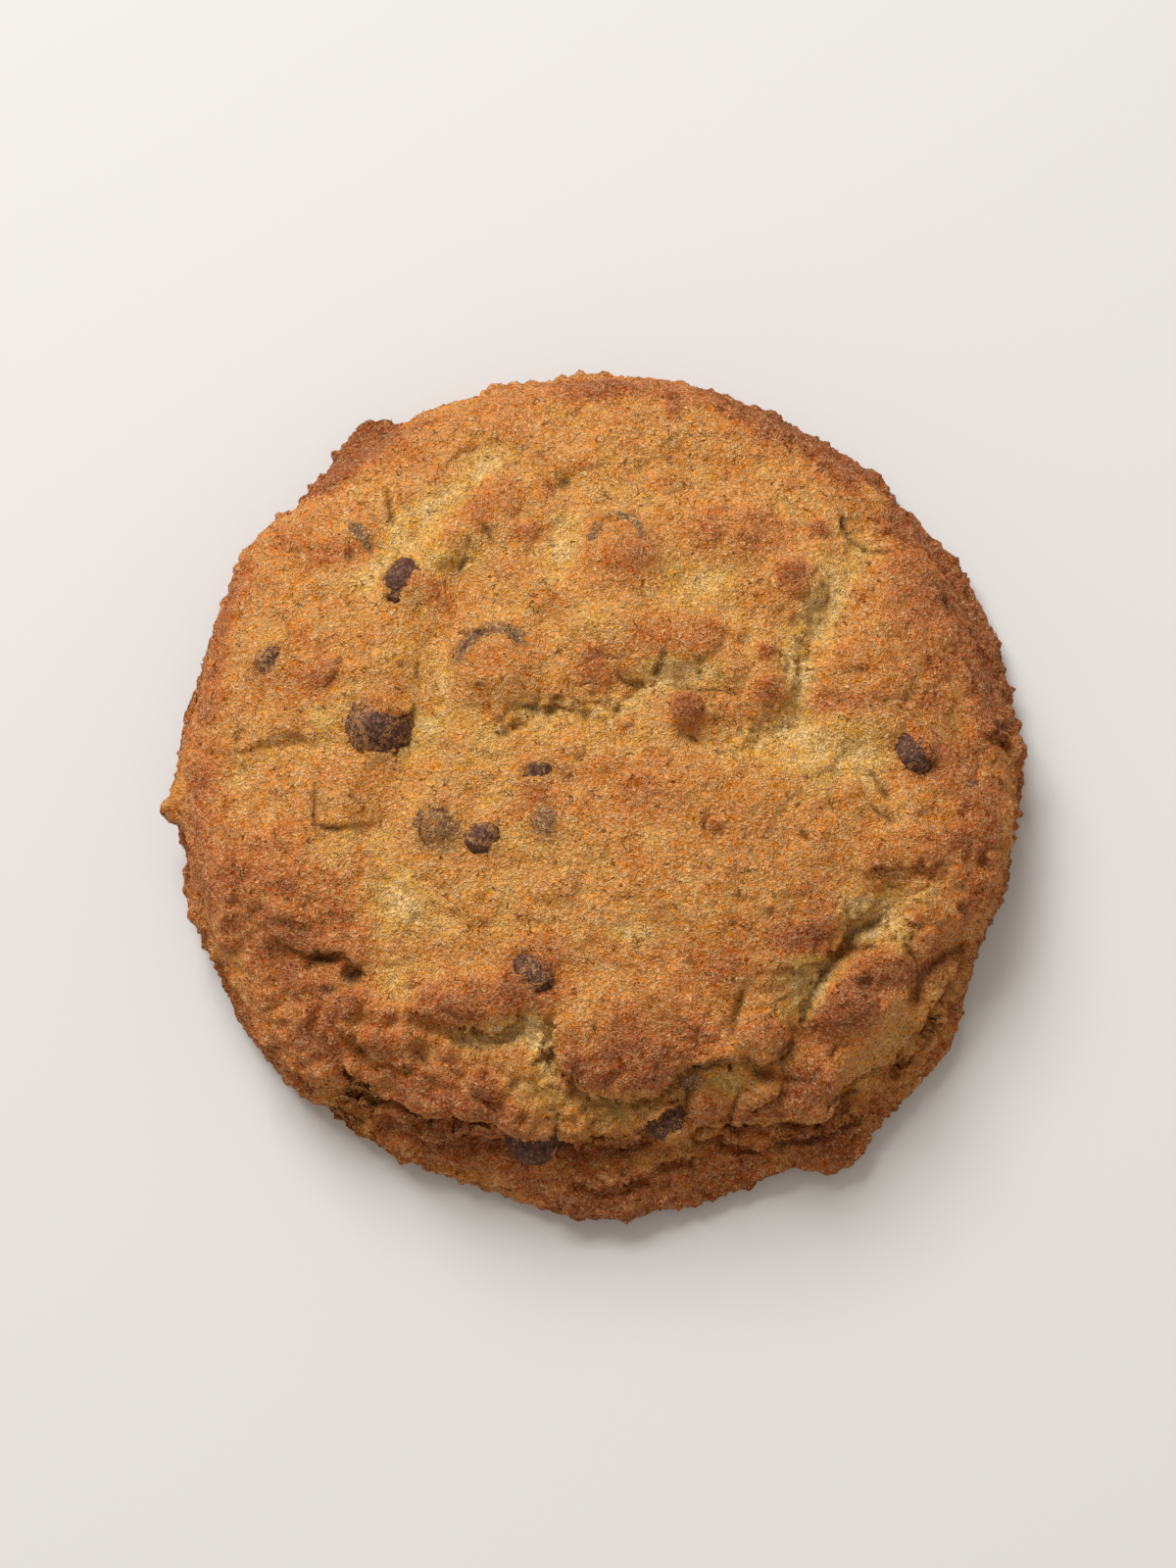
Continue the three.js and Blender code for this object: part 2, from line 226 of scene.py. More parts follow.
# %% Chips
def clouds(name, grain):
    """A soft random texture for displacement, with grains of this size in millimetres."""
    texture = bpy.data.textures.new(name, "CLOUDS")
    texture.noise_scale = grain * MM
    texture.noise_depth = 2
    return texture


DENTS, DENT_DEPTH = clouds("dents", 1.6), 0.35 * MM
PITTING, PIT_DEPTH = clouds("pitting", 0.55), 0.08 * MM
chips = {}
for node in CHIP_NODES:
    chip = copy_of_node(node, node.replace("chip_", "melted_chip_"))
    modify(chip, "SUBSURF", levels=3, render_levels=3)
    modify(chip, "DISPLACE", texture=DENTS, texture_coords="LOCAL", strength=DENT_DEPTH, mid_level=0.45)
    modify(chip, "DISPLACE", texture=PITTING, texture_coords="LOCAL", strength=PIT_DEPTH, mid_level=0.5)
    chips[node] = chip
print("chips:", len(chips), "with", sum(len(c.data.polygons) for c in chips.values()), "faces")

# %% [markdown]
# The dough baked over its chips. To get that coat of crust, a slightly fattened copy of every chip is joined
# to the dough, and a voxel remesh melts them into one skin with even, fine faces. The voxels leave small
# steps, and a few rounds of smoothing take them away.

# %% Dough: one skin over dough and chips
FATTENING = 0.5 * MM
VOXEL = 0.4 * MM

dough = copy_of_node("dough", "baked_dough")
coats = []
for node in CHIP_NODES:
    coat = copy_of_node(node, "coat")
    modify(coat, "DISPLACE", strength=FATTENING, mid_level=0.0)
    coats.append(coat)
select_only(dough, *coats)
bpy.ops.object.join()
modify(dough, "REMESH", mode="VOXEL", voxel_size=VOXEL)
modify(dough, "SMOOTH", factor=0.5, iterations=4)
print("dough skin:", len(dough.data.polygons), "faces")

# %% [markdown]
# Relief is painted in code, as one would with a brush: a weight for each vertex, and a Displace modifier that
# moves the surface by it. Brush strokes are lines and ovals in plan, in millimetres.


# %% Brushes
def smoothstep(low, high, values):
    share = np.clip((values - low) / (high - low), 0, 1)
    return share * share * (3 - 2 * share)


def stroke_distance(points, line):
    """Distance in plan from each point to a line of two or more corners."""
    plan = points[:, :2]
    best = np.full(len(points), np.inf)
    for start, end in zip(line[:-1], line[1:]):
        along = np.subtract(end, start)
        share = np.clip((plan - start) @ along / (along @ along), 0, 1)
        best = np.minimum(best, np.hypot(*(plan - start - share[:, None] * along).T))
    return best


def oval_distance(points, at, half, turn=0):
    """Distance in plan from an oval's middle, as a share of its half length and half width."""
    angle = math.radians(turn)
    dx, dy = (points[:, :2] - np.array(at)).T
    along = (dx * math.cos(angle) + dy * math.sin(angle)) / half[0]
    across = (dy * math.cos(angle) - dx * math.sin(angle)) / half[1]
    return np.hypot(along, across)


def stroke(points, line, half, power=2):
    """A brush stroke: 1 on its line, and little past its half width. A high power gives it a firm edge."""
    return np.exp(-((stroke_distance(points, line) / half) ** power))


def oval(points, at, half, turn=0, power=2.5):
    """An oval dab of the brush, which fades in the same way."""
    return np.exp(-(oval_distance(points, at, half, turn) ** power))


def ragged(distance, power):
    """The same fading for a distance that noise was added to, which gives the mark a torn outline."""
    return np.exp(-(np.clip(distance, 0, None) ** power))


def ledge(points, line, width, wander):
    """A torn edge: 1 along its high side, on the left of the line, and -1 just below it on the right."""
    plan = points[:, :2]
    best, side, place = np.full(len(points), np.inf), np.zeros(len(points)), np.zeros(len(points))
    length = 0.0
    for start, end in zip(line[:-1], line[1:]):
        along = np.subtract(end, start)
        stretch = np.hypot(*along)
        share = np.clip((plan - start) @ along / stretch**2, 0, 1)
        offset = plan - start - share[:, None] * along
        distance = np.hypot(*offset.T)
        left = np.sign(along[0] * offset[:, 1] - along[1] * offset[:, 0])
        side = np.where(distance < best, left * distance, side)
        place = np.where(distance < best, length + share * stretch, place)
        best = np.minimum(best, distance)
        length += stretch
    taper = smoothstep(0, 2, np.minimum(place, length - place))
    across = side / width + wander
    return taper * np.where(across > 0, np.exp(-((across / 1.8) ** 2)), -np.exp(-4 * (across + 0.5) ** 2))


def noise_at(points, grain, seed=0.0):
    """Smooth noise between about -1 and 1, with bumps of this size in millimetres."""
    return np.array([noise.noise(p) for p in (points / np.array(grain) + seed).tolist()])


def billows(points, grain, seed=0.0):
    """Rounded bumps with sharp creases between them, from 0 in the creases to about 1 on the bumps."""
    return np.abs(noise_at(points, grain, seed)) * 1.6


def push(piece, name, heights):
    """Moves the surface out by positive heights and in by negative ones, in millimetres."""
    for sign in (1, -1):
        part = np.clip(sign * heights, 0, None)
        most = float(part.max())
        if most > 0:
            group = paint(piece, name, part / most)
            modify(piece, "DISPLACE", strength=sign * most * MM, mid_level=0.0, vertex_group=group.name)
            piece.vertex_groups.clear()


# %% [markdown]
# First come the lumps: broad soft ones on the cap, and rougher crags on the sides, where the dough tore as it
# spread. The sides also have thin folds that lie on each other like pages, and the humps over the chips are
# softened, because crust drapes.


# %% Dough: humps, lumps, crags and folds
def calmer_crown(points):
    """Halves the relief near the very top, which keeps the cookie's height."""
    return 1 - 0.5 * smoothstep(20.5, 22.5, points[:, 2])


HUMP_MARGIN = 1.2  # millimetres round each chip's box
points = points_of(dough)
near_chip = np.zeros(len(points))
for node in CHIP_NODES:
    low, high = (np.array(corner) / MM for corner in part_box(node))
    middle, half = (low + high) / 2, (high - low) / 2 + HUMP_MARGIN
    near_chip = np.maximum(near_chip, 1 - smoothstep(0.9, 1.1, np.abs((points - middle) / half).max(axis=1)))
group = paint(dough, "humps", near_chip)
modify(dough, "SMOOTH", factor=0.5, iterations=36, vertex_group=group.name)
dough.vertex_groups.clear()

points, normals = points_of(dough), normals_of(dough)
off_base = smoothstep(0.2, 1.5, points[:, 2])
on_top = smoothstep(0.3, 0.8, normals[:, 2])
on_side = (1 - smoothstep(0.35, 0.8, normals[:, 2])) * off_base
on_skirt = (1 - smoothstep(8, 11.5, points[:, 2])) * off_base
inland = 1 - 0.6 * near_chip
rough_band = [(-41, -19), (-34, -28), (-25, -34.5), (-13, -37)]  # the front left baked roughest
lumpy_band = [(9, -38), (20, -37), (30, -34), (38, -27)]  # and the front right half as rough
rough_quarter = stroke(points, rough_band, 8.5, 3)
rough_quarter = np.maximum(rough_quarter, 0.55 * stroke(points, lumpy_band, 4.5, 3))
# Heights are in millimetres, and so is the grain, the first number that noise_at and billows take.
plateaus = smoothstep(-0.12, 0.16, noise_at(points, 5.2, seed=1.0) + 0.5 * noise_at(points, 2.1, seed=2.0))
lumps = 0.4 * plateaus + 0.24 * billows(points, 2.6, seed=7.0) + 0.16 * billows(points, 1.25, seed=8.0)
torn = smoothstep(0.05, 0.3, noise_at(points, 6.0, seed=16.0))
lumps -= 0.4 * torn * np.exp(-((noise_at(points, 2.4, seed=15.0) / 0.05) ** 2))
heaps = 1.4 * billows(points, 4.6, seed=21.0) + 0.55 * billows(points, 2.2, seed=9.0) - 0.45
folds = 0.9 * billows(points, (8, 8, 1.9), seed=3.0) + 0.3 * billows(points, (3, 3, 1.1), seed=4.0) - 0.65
crust = 0.6 * billows(points, 1.7, seed=17.0) + 0.4 * billows(points, 0.95, seed=18.0) - 0.4
crags = 0.35 * noise_at(points, 4.5, seed=11.0) + 0.2 * billows(points, 1.3, seed=12.0) - 0.2
relief = (lumps - 0.45) * inland * on_top
relief = relief + rough_quarter * heaps * inland * np.maximum(on_top, 0.4) + on_side * crags
relief += np.maximum(on_skirt, 0.5 * on_side) * folds + on_skirt * crust
relief *= calmer_crown(points)
push(dough, "lumps", off_base * relief)
print("humps softened, lumps and folds pushed")

# %% [markdown]
# Then the marks that make this cookie itself: ledges where one lump slid over the next, cracks where the
# crust set before the inside had finished rising, knobs that browned first, and pits where bubbles broke.
# Every edge wanders with a little noise, so that it looks torn and not cut.

# %% Dough: cracks, knobs and pits
# Ledges: rise and width in millimetres, and the line, whose left is the high side.
LEDGES = {
    "crown": (0.5, 0.9, [(20, -23.2), (23.5, -22.6), (26.5, -21), (29, -19), (28.2, -15)]),
    "south mound": (1.3, 1.3, [(-5.2, -28), (-4.4, -33), (-2.2, -36), (2, -37.4), (7, -36.4), (10, -34)]),
    "south mound east": (1.3, 0.9, [(9.5, -34.2), (12, -33.8), (15, -33.4), (17, -32.4)]),
    "south knob": (1.1, 0.9, [(16.4, -32.6), (18.8, -33.6), (21.2, -31.4), (22, -29)]),
    "south ridge": (0.9, 1.6, [(-22, -27), (-17.5, -29.3), (-12, -30), (-8, -28)]),
    "patch": (0.22, 0.9, [(-32.8, -1.5), (-32.8, -6.6), (-25.4, -6), (-24.6, -3.5)]),
    "lip": (1.4, 0.9, [
        (-30, -33), (-27.6, -36.4), (-24.6, -37.8), (-20.5, -38.9), (-15, -39.6), (-9, -41.6), (0, -41.8)
    ]),
    "lip east": (1.3, 0.9, [(-1, -42), (3.2, -41.8), (5.4, -40.4), (8.6, -38.8), (9.6, -37)]),
    "low lip": (0.9, 0.9, [(-3.5, -45.4), (-1, -47.2), (2, -47.4), (5, -46.2), (8, -44), (13, -44.4)]),
    "east foot": (1.3, 0.9, [(10, -41.4), (14, -41), (17, -42.4), (22, -41.8), (27, -40.6), (32, -38)]),
    "pale lump": (1.0, 0.9, [(14.2, -38.8), (16.4, -39.4), (19.6, -37), (22, -35.2)]),
    "south-east lump": (1.1, 0.9, [(20.4, -37.6), (23.6, -39.6), (26.8, -38.6), (29, -36)]),
    "south-east rim": (1.1, 0.9, [(33.5, -34.6), (36.6, -31.4), (39.8, -27.6), (42.4, -23.6)]),
    "south-west shelf": (0.7, 0.9, [(-31, -27.6), (-28, -31), (-25, -33.4), (-20.4, -34.2)]),
    "south-west mound": (0.8, 0.9, [(-37, -19.4), (-33, -20.6), (-29, -21.2), (-26.8, -23.6)]),
    "north-east rim": (0.6, 0.9, [
        (44.6, 10), (42.4, 19), (38.6, 26.4), (33.4, 32.2), (27, 37.6), (20, 43.2), (12.5, 47)
    ]),
    "river east bank": (0.25, 2, [(31, 22.4), (28, 18.2), (25.4, 13.6), (24.2, 9)]),
    "river west bank": (0.25, 1.5, [(22.8, 7.6), (23, 10.6), (21.2, 12.6), (21.4, 15.6)]),
    "north-east knob": (0.3, 1.6, [(20.5, 17.2), (24.4, 18.6), (26.4, 21.6), (25.6, 25.4)]),
    "middle": (0.25, 1.2, [
        (-11.4, 4.8), (-8.5, 6.4), (-5, 7.7), (-2, 6.9), (1.6, 8), (4, 9.8), (7.4, 10.6)
    ]),
    "west crease": (0.22, 0.9, [(-43.5, 3.2), (-40, 3.7), (-37, 3.9), (-34, 4.8)]),
    "hump over the west chip": (0.4, 0.9, [(-27.6, 8.4), (-25.2, 7.6), (-24, 6.4), (-22, 6), (-20.4, 8)]),
    "west dip": (0.5, 0.9, [(-32, 9), (-30.9, 12), (-30, 14.6)]),
    "north-west": (0.35, 0.9, [(-24.9, 29.6), (-24.3, 32), (-24.9, 35)]),
    "north-west valley": (0.3, 1.5, [(-19.5, 36.4), (-15.5, 40), (-12, 42)]),
    "east shoulder": (0.5, 1.8, [(29.5, -11.4), (33, -11), (37, -10.9), (41, -10.6)]),
    "east spur": (0.8, 0.9, [(44.5, 5.4), (47, 5.4), (50, 4.4)]),
}
# Cracks: half width and depth in millimetres, and the line. A crack's bottom also gets painted shade.
CRACKS = {
    "south-east groove": (1.0, 1.5, [(42.6, -19.2), (39.6, -21.2), (37.6, -23), (37.2, -25.6)]),
    "south-east cleft": (0.5, 0.6, [(28.8, -20), (26.6, -22.6), (24.6, -25.4), (23.6, -28.6)]),
    "pale cleft": (0.5, 0.45, [(28.6, -19), (31.6, -17.4), (33, -16.2)]),
    "knob crack": (0.35, 0.8, [(16.6, -26), (16, -28), (15.2, -31)]),
    "north-east crack": (0.4, 0.3, [(29.2, 31.4), (29.4, 29), (31.6, 27.4), (34.2, 27.2)]),
    "east hairline": (0.3, 0.5, [(31.8, 0), (32.6, -1.4), (33.7, -3)]),
    "lip crack": (0.3, 0.7, [(-4.9, -41.6), (-4.7, -39.4)]),
    "crown foot": (0.4, 0.45, [(29, -19.4), (28.8, -20.4), (27.4, -21), (26.4, -22.2), (25.6, -23.6)]),
    "beside the pale cleft": (0.25, 0.4, [(29.2, -19.2), (30, -17.8)]),
    "pale cleft low": (0.25, 0.4, [(29.6, -19.9), (32, -19.9)]),
    "shoulder": (0.25, 0.3, [(36.6, -21), (35.8, -19.8)]),
    "south knob side": (0.3, 0.5, [(20.8, -32.6), (21.4, -31.8), (22.6, -31)]),
    "pale knob foot": (0.3, 0.5, [(21.6, -35.2), (24.4, -35.4), (25.6, -34.2)]),
    "pale knob side": (0.3, 0.5, [(26.8, -32.8), (27.4, -31.6)]),
    "fold": (0.35, 0.6, [(26.6, -38), (28.6, -36.4), (30.2, -35.8)]),
    "south mound end": (0.4, 0.7, [(10.2, -34.5), (12.8, -33.7), (15.2, -33.3)]),
    "front right": (0.3, 0.5, [(15.3, -39.6), (15.8, -37.8), (16.4, -36.4)]),
    "under the red": (0.2, 0.2, [(10.6, 3.9), (11.4, 3.4)]),
    "below the river": (0.2, 0.2, [(13.6, 2), (14.6, 2.1)]),
    "above the red": (0.25, 0.35, [(9.2, 9.8), (12, 9.2), (15.2, 9.5), (16.2, 8.6)]),
    "ridge": (0.25, 0.35, [(6.6, 11.2), (7.2, 12), (7.7, 13.4)]),
    "ridge foot": (0.25, 0.35, [(2.5, 11), (3.3, 10.2), (5, 10.2)]),
    "crumb side": (0.2, 0.2, [(11.8, -5.4), (12.4, -5.8), (12.1, -7)]),
    "crown flecks": (0.25, 0.2, [(23.4, -7.2), (24.2, -8.2)]),
    "east": (0.2, 0.25, [(31.6, -3.8), (32.8, -5), (34.2, -5.6)]),
    "north-west crease": (0.35, 0.4, [(-24.9, 34.6), (-24.8, 32.6), (-24.3, 30.4)]),
    "west": (0.2, 0.3, [(-20.9, 12.8), (-21.1, 11.2)]),
    "north-west nick": (0.25, 0.25, [(-16.2, 24.2), (-15.5, 25.3)]),
    "north ridge": (0.3, 0.3, [(-12.4, 27.6), (-13.4, 29.4)]),
    "patch edge": (0.25, 0.3, [(-32.8, -1.2), (-32.9, -6.2), (-30, -6.6)]),
    "shelf": (0.35, 0.5, [(-20.8, -32.4), (-19.4, -33.8)]),
    "lip east crack": (0.5, 0.8, [(10.4, -36.4), (9.8, -39.6)]),
}
# Knobs: where, half length and half width, rise in millimetres, and how much browner they are.
KNOBS = {
    "red": ((10.2, 7), (1.8, 2), 0.9, 0.6),
    "beside the red": ((14, 7.6), (2.6, 1.8), 0.5, 0.04),
    "river lower": ((20.3, 9.7), (2, 1.9), 0.6, 0.3),
    "river upper": ((19.3, 14.2), (1.2, 1.1), 0.5, 0.35),
    "ridge east": ((15.8, 12.4), (1.6, 2.1), 0.5, 0.28),
    "ridge north-east": ((13, 16.3), (1.8, 1.6), 0.5, 0.22),
    "ridge west": ((-0.8, 12.2), (2, 3), 0.4, 0.25),
    "orange": ((6.6, 8.4), (1.3, 1.4), 0.5, 0.1),
    "orange lower": ((3.1, 5.1), (1.1, 1), 0.5, 0.15),
    "orange west": ((-2.8, 2.6), (1.5, 1.3), 0.35, 0.08),
    "orange far west": ((-10.9, 6), (1.5, 1.1), 0.4, 0.12),
    "north-east body": ((22.6, 21.6), (3.8, 3.6), 0.5, 0.05),
    "north-east": ((23.2, 23.3), (2.1, 2.1), 0.6, 0.35),
    "far north-east": ((25.8, 29.5), (1.5, 1.2), 0.5, 0.3),
    "north": ((-8.6, 28.8), (1.9, 1.3), 0.5, 0.3),
    "north small": ((-5.9, 34.3), (0.9, 1.1), 0.4, 0.35),
    "north orange": ((3, 36.2), (1.1, 1.1), 0.4, 0.14),
    "north lump": ((7.8, 34.8), (1.8, 1.6), 0.4, 0.12),
    "north rim red": ((8.8, 44.8), (1.2, 1.6), 0.4, 0.3),
    "north rim": ((1, 47.6), (2.8, 1.6), 0.3, 0.25),
    "north-west": ((-17.8, 27), (2.4, 2.4), 0.5, 0.12),
    "beside the chip": ((-18.6, 21.4), (1.9, 2.1), 0.4, 0.2),
    "crumb": ((13.2, -6.8), (0.9, 0.8), 0.5, 0.3),
    "crumb sliver": ((12, -6.3), (0.4, 0.9), 0.35, 0.2),
    "south-west red": ((-28.2, -26.4), (2.2, 1.5), 0.7, 0.3),
    "south-west low": ((-25.4, -30.4), (2, 1.8), 0.6, 0.1),
    "front left": ((-12.6, -36), (2.3, 2.4), 0.6, 0.25),
    "front left upper": ((-16.6, -33), (2.2, 1.8), 0.5, 0.15),
    "front left lip": ((-16, -38.2), (2.6, 1.3), 0.4, 0.12),
    "far left": ((-36.6, -17.6), (3, 2), 0.5, 0.15),
    "south edge": ((-3.4, -34), (1.2, 2), 0.3, 0.3),
    "south-east": ((28.6, -26.6), (2.7, 2.7), 0.9, 0.4),
    "south-east upper": ((33, -22.4), (3.1, 2.1), 0.8, 0.22),
    "south-east side": ((31.9, -27.4), (1.5, 2), 0.4, 0.15),
    "south-east rim": ((38.6, -28), (1.9, 3.4), 0.6, 0.15),
    "south": ((11.6, -30.2), (2.5, 2.5), 0.4, 0.25),
    "south next": ((18.6, -30.6), (2.9, 2.5), 0.7, 0.2),
    "south-east low": ((24.6, -37), (3.2, 2.1), 0.8, 0.2),
    "south-east pale": ((23.7, -32.8), (2.5, 1.9), 0.6, -0.25),
    "under the south knob": ((17.6, -36), (3, 2), 0.5, -0.15),
    "front right": ((13, -37.6), (2.1, 2.5), 0.5, 0.15),
    "over the centre chip": ((-12, 10.6), (5.8, 4.6), 0.3, 0),
    "over the north chip": ((3.2, 25), (4.8, 4.2), 0.5, 0),
    "over the south chip": ((-7, -21), (4, 2), 0.3, 0),
}
# Pits: where, half length and half width, depth in millimetres, and how dark the painted shade at the bottom
# is.
PITS = {
    "south-west long": ((-32, -21.5), (1.7, 0.6), 0.9, 0.8),
    "south-west": ((-28.3, -23.4), (1.2, 1.1), 1.0, 0.95),
    "south-west low": ((-31.2, -25), (1.1, 0.6), 0.8, 0.8),
    "south-west side": ((-33.6, -22.4), (0.5, 0.5), 0.5, 0.6),
    "shelf": ((-27.1, -31.8), (0.8, 0.8), 0.9, 0.6),
    "shelf east": ((-20.3, -32.3), (1.3, 1.3), 0.9, 0.55),
    "front left": ((-12.9, -34.9), (0.5, 0.7), 0.6, 0.6),
    "front left inner": ((-9.6, -36.2), (0.6, 0.6), 0.5, 0.5),
    "lip": ((-8.6, -39.4), (0.6, 0.5), 0.5, 0.55),
    "north": ((-4, 35), (0.8, 0.7), 0.6, 0.75),
    "north-east": ((29.1, 30.6), (0.5, 1), 0.5, 0.7),
    "north-east dot": ((34.2, 27.4), (0.5, 0.4), 0.4, 0.8),
    "ridge": ((11.8, 12.7), (0.5, 0.5), 0.4, 0.7),
    "middle far west": ((-10.8, 4.3), (0.8, 0.5), 0.6, 0.6),
    "middle west": ((-9.3, 5.1), (1, 0.4), 0.5, 0.45),
    "middle first": ((-7.6, 7.2), (1.1, 0.5), 0.6, 0.5),
    "middle second": ((-5.4, 7.3), (1, 0.4), 0.6, 0.5),
    "middle notch": ((-4.5, 8.3), (0.5, 0.4), 0.4, 0.5),
    "middle deep": ((-1.5, 6.4), (0.7, 0.6), 0.6, 0.65),
    "middle crumb": ((-3.1, 5.1), (0.6, 0.4), 0.4, 0.4),
    "middle dot": ((0.8, 6), (0.5, 0.3), 0.4, 0.5),
    "middle east": ((2.2, 7.2), (0.8, 0.5), 0.5, 0.6),
    "ridge west": ((6.9, 11.5), (0.4, 0.5), 0.5, 0.7),
    "ridge upper": ((7.5, 13.2), (0.3, 0.5), 0.4, 0.6),
    "shoulder west": ((-29.3, 26.3), (0.6, 0.9), 0.5, 0.6),
    "knob shadow": ((30.4, -20), (1.6, 0.4), 0.6, 0.45),
    "pale crack": ((31.8, -17.2), (1, 0.3), 0.5, 0.5),
    "west": ((-42.3, 4.8), (0.6, 0.9), 0.5, 0.5),
    "west dot": ((-41.4, 1.3), (0.4, 0.5), 0.4, 0.5),
    "east": ((45.2, -9.8), (0.8, 0.8), 0.7, 0.7),
    "east low": ((42.4, -15.4), (0.6, 0.6), 0.5, 0.6),
    "north-east rim": ((41.2, 21.6), (0.6, 1.6), 0.7, 0.75),
    "south-east": ((30.7, -24.3), (1, 0.8), 0.8, 0.85),
    "south": ((19.2, -34.8), (1.2, 0.8), 0.9, 0.6),
    "spur": ((47.4, 6.6), (0.8, 0.6), 0.6, 0.6),
    "speck": ((-2.5, -13.9), (0.6, 0.6), 0.3, 0.6),
}
# Spurs: thin crisp drips on the edge, given in three dimensions, with their radius and reach.
SPURS = {
    "west": ((-50.2, -2.2, 8), 1.0, 1.8),
    "west below": ((-49.2, -4, 8), 1.2, 0.8),
    "south-west": ((-47.2, -15.2, 8), 1.1, 1.4),
    "east upper": ((48.8, 8, 9), 1.3, 1.0),
    "east": ((49.8, 4.4, 8), 1.2, 1.4),
    "north-west": ((-38.6, 33.2, 9), 1.1, 0.7),
    "north": ((-12.4, 48.4, 9), 1.3, 0.7),
}
# Where the outline swells or draws in: azimuth and spread in degrees, and reach in millimetres.
BULGES = {
    "south-west": (234, 5, -1.1),
    "north-west": (138, 3, -0.9),
    "north-west above": (147, 4, 0.6),
    "west": (209, 5, -0.4),
    "west upper": (166, 7, -0.5),
    "south": (270, 4, 0.6),
    "east low": (332, 5, 0.5),
}
# Where the lip at the front lies further in, above the skirt: half width, reach and line.
LIP_DRAWN_IN = {
    "front left": (2.8, 2.5, [(-27, -38), (-20, -41.4), (-12, -42.8)]),
    "front": (2.4, 1.1, [(-11, -43), (-4, -43.2), (3, -42.6)]),
}
# Crumbly places, where the crust never closed: half width and line.
CRUMBLY = {
    "middle crack": (2.0, [(-11, 4.8), (-5, 7), (2, 7.2), (7, 9)]),
    "river": (1.8, [(22, 6), (22.6, 11), (24, 17)]),
    "river foot": (2.4, [(16.5, 4), (20, 4.6)]),
    "east crack": (2.2, [(28.8, -16), (32.4, -18), (34.5, -17)]),
    "south-east cleft": (1.5, [(27.4, -21), (24.2, -24.4), (23.4, -27.5)]),
    "south valley": (1.4, [(-9, -29.4), (-6.6, -31.6), (-5, -36.6)]),
    "front lip": (1.8, [(-5, -38.6), (1, -39.8), (6.4, -38.4)]),
    "far north-east": (2.0, [(31.5, 28), (33.8, 29.4)]),
}
wander = 0.4 * noise_at(points, 1.3, seed=5.0) + 0.3 * noise_at(points, 0.6, seed=6.0)
relief, spurs = np.zeros(len(points)), np.zeros(len(points))
crumbly = np.zeros(len(points))
for half, line in CRUMBLY.values():
    crumbly = np.maximum(crumbly, stroke(points, line, half, 3))
relief += crumbly * (0.7 * billows(points, 1.3, seed=13.0) + 0.45 * billows(points, 0.75, seed=14.0) - 0.35)
azimuths = np.degrees(np.arctan2(points[:, 1], points[:, 0]))
for at, spread, reach in BULGES.values():
    away = ((azimuths - at + 540) % 360 - 180) / spread
    spurs += reach * np.exp(-(away**2)) * smoothstep(42, 47, np.hypot(points[:, 0], points[:, 1]))
drawn_in = np.zeros(len(points))
for half, reach, line in LIP_DRAWN_IN.values():
    drawn_in = np.maximum(drawn_in, reach * stroke(points, line, half))
spurs -= drawn_in * smoothstep(7.6, 9, points[:, 2])
for rise, width, line in LEDGES.values():
    relief += rise * ledge(points, line, width, 1.6 * wander)
for half, depth, line in CRACKS.values():
    relief -= depth * ragged(stroke_distance(points, line) / half + wander, 2)
for at, half, rise, _ in KNOBS.values():
    relief += 1.25 * rise * ragged(oval_distance(points, at, half) + 0.5 * wander, 4.5)
for at, half, depth, _ in PITS.values():
    relief -= depth * ragged(oval_distance(points, at, half) + 0.4 * wander, 3)
for at, half, reach in SPURS.values():
    distance = np.sqrt((((points - np.array(at)) / half) ** 2).sum(axis=1))
    spurs += reach * ragged(distance + 0.5 * wander, 2)
relief *= calmer_crown(points)
push(dough, "marks", off_base * (spurs + relief * smoothstep(-0.1, 0.4, normals[:, 2])))
print("marks:", len(LEDGES), "ledges,", len(CRACKS), "cracks,", len(KNOBS), "knobs,", len(PITS), "pits")

# %% [markdown]
# Where a chip shows, the crust over it broke or never closed. The bare places are painted as strokes with
# ragged edges. Shrinkwrap does the rest: outside the strokes it keeps the crust a little above the chip, and
# inside them it draws the crust down into the chip, which then shows.

# %% Dough: crust over the chips, and the bare places
CRUST_OVER_CHIP = 0.22 * MM
COAT_REACH = 1.1 * MM
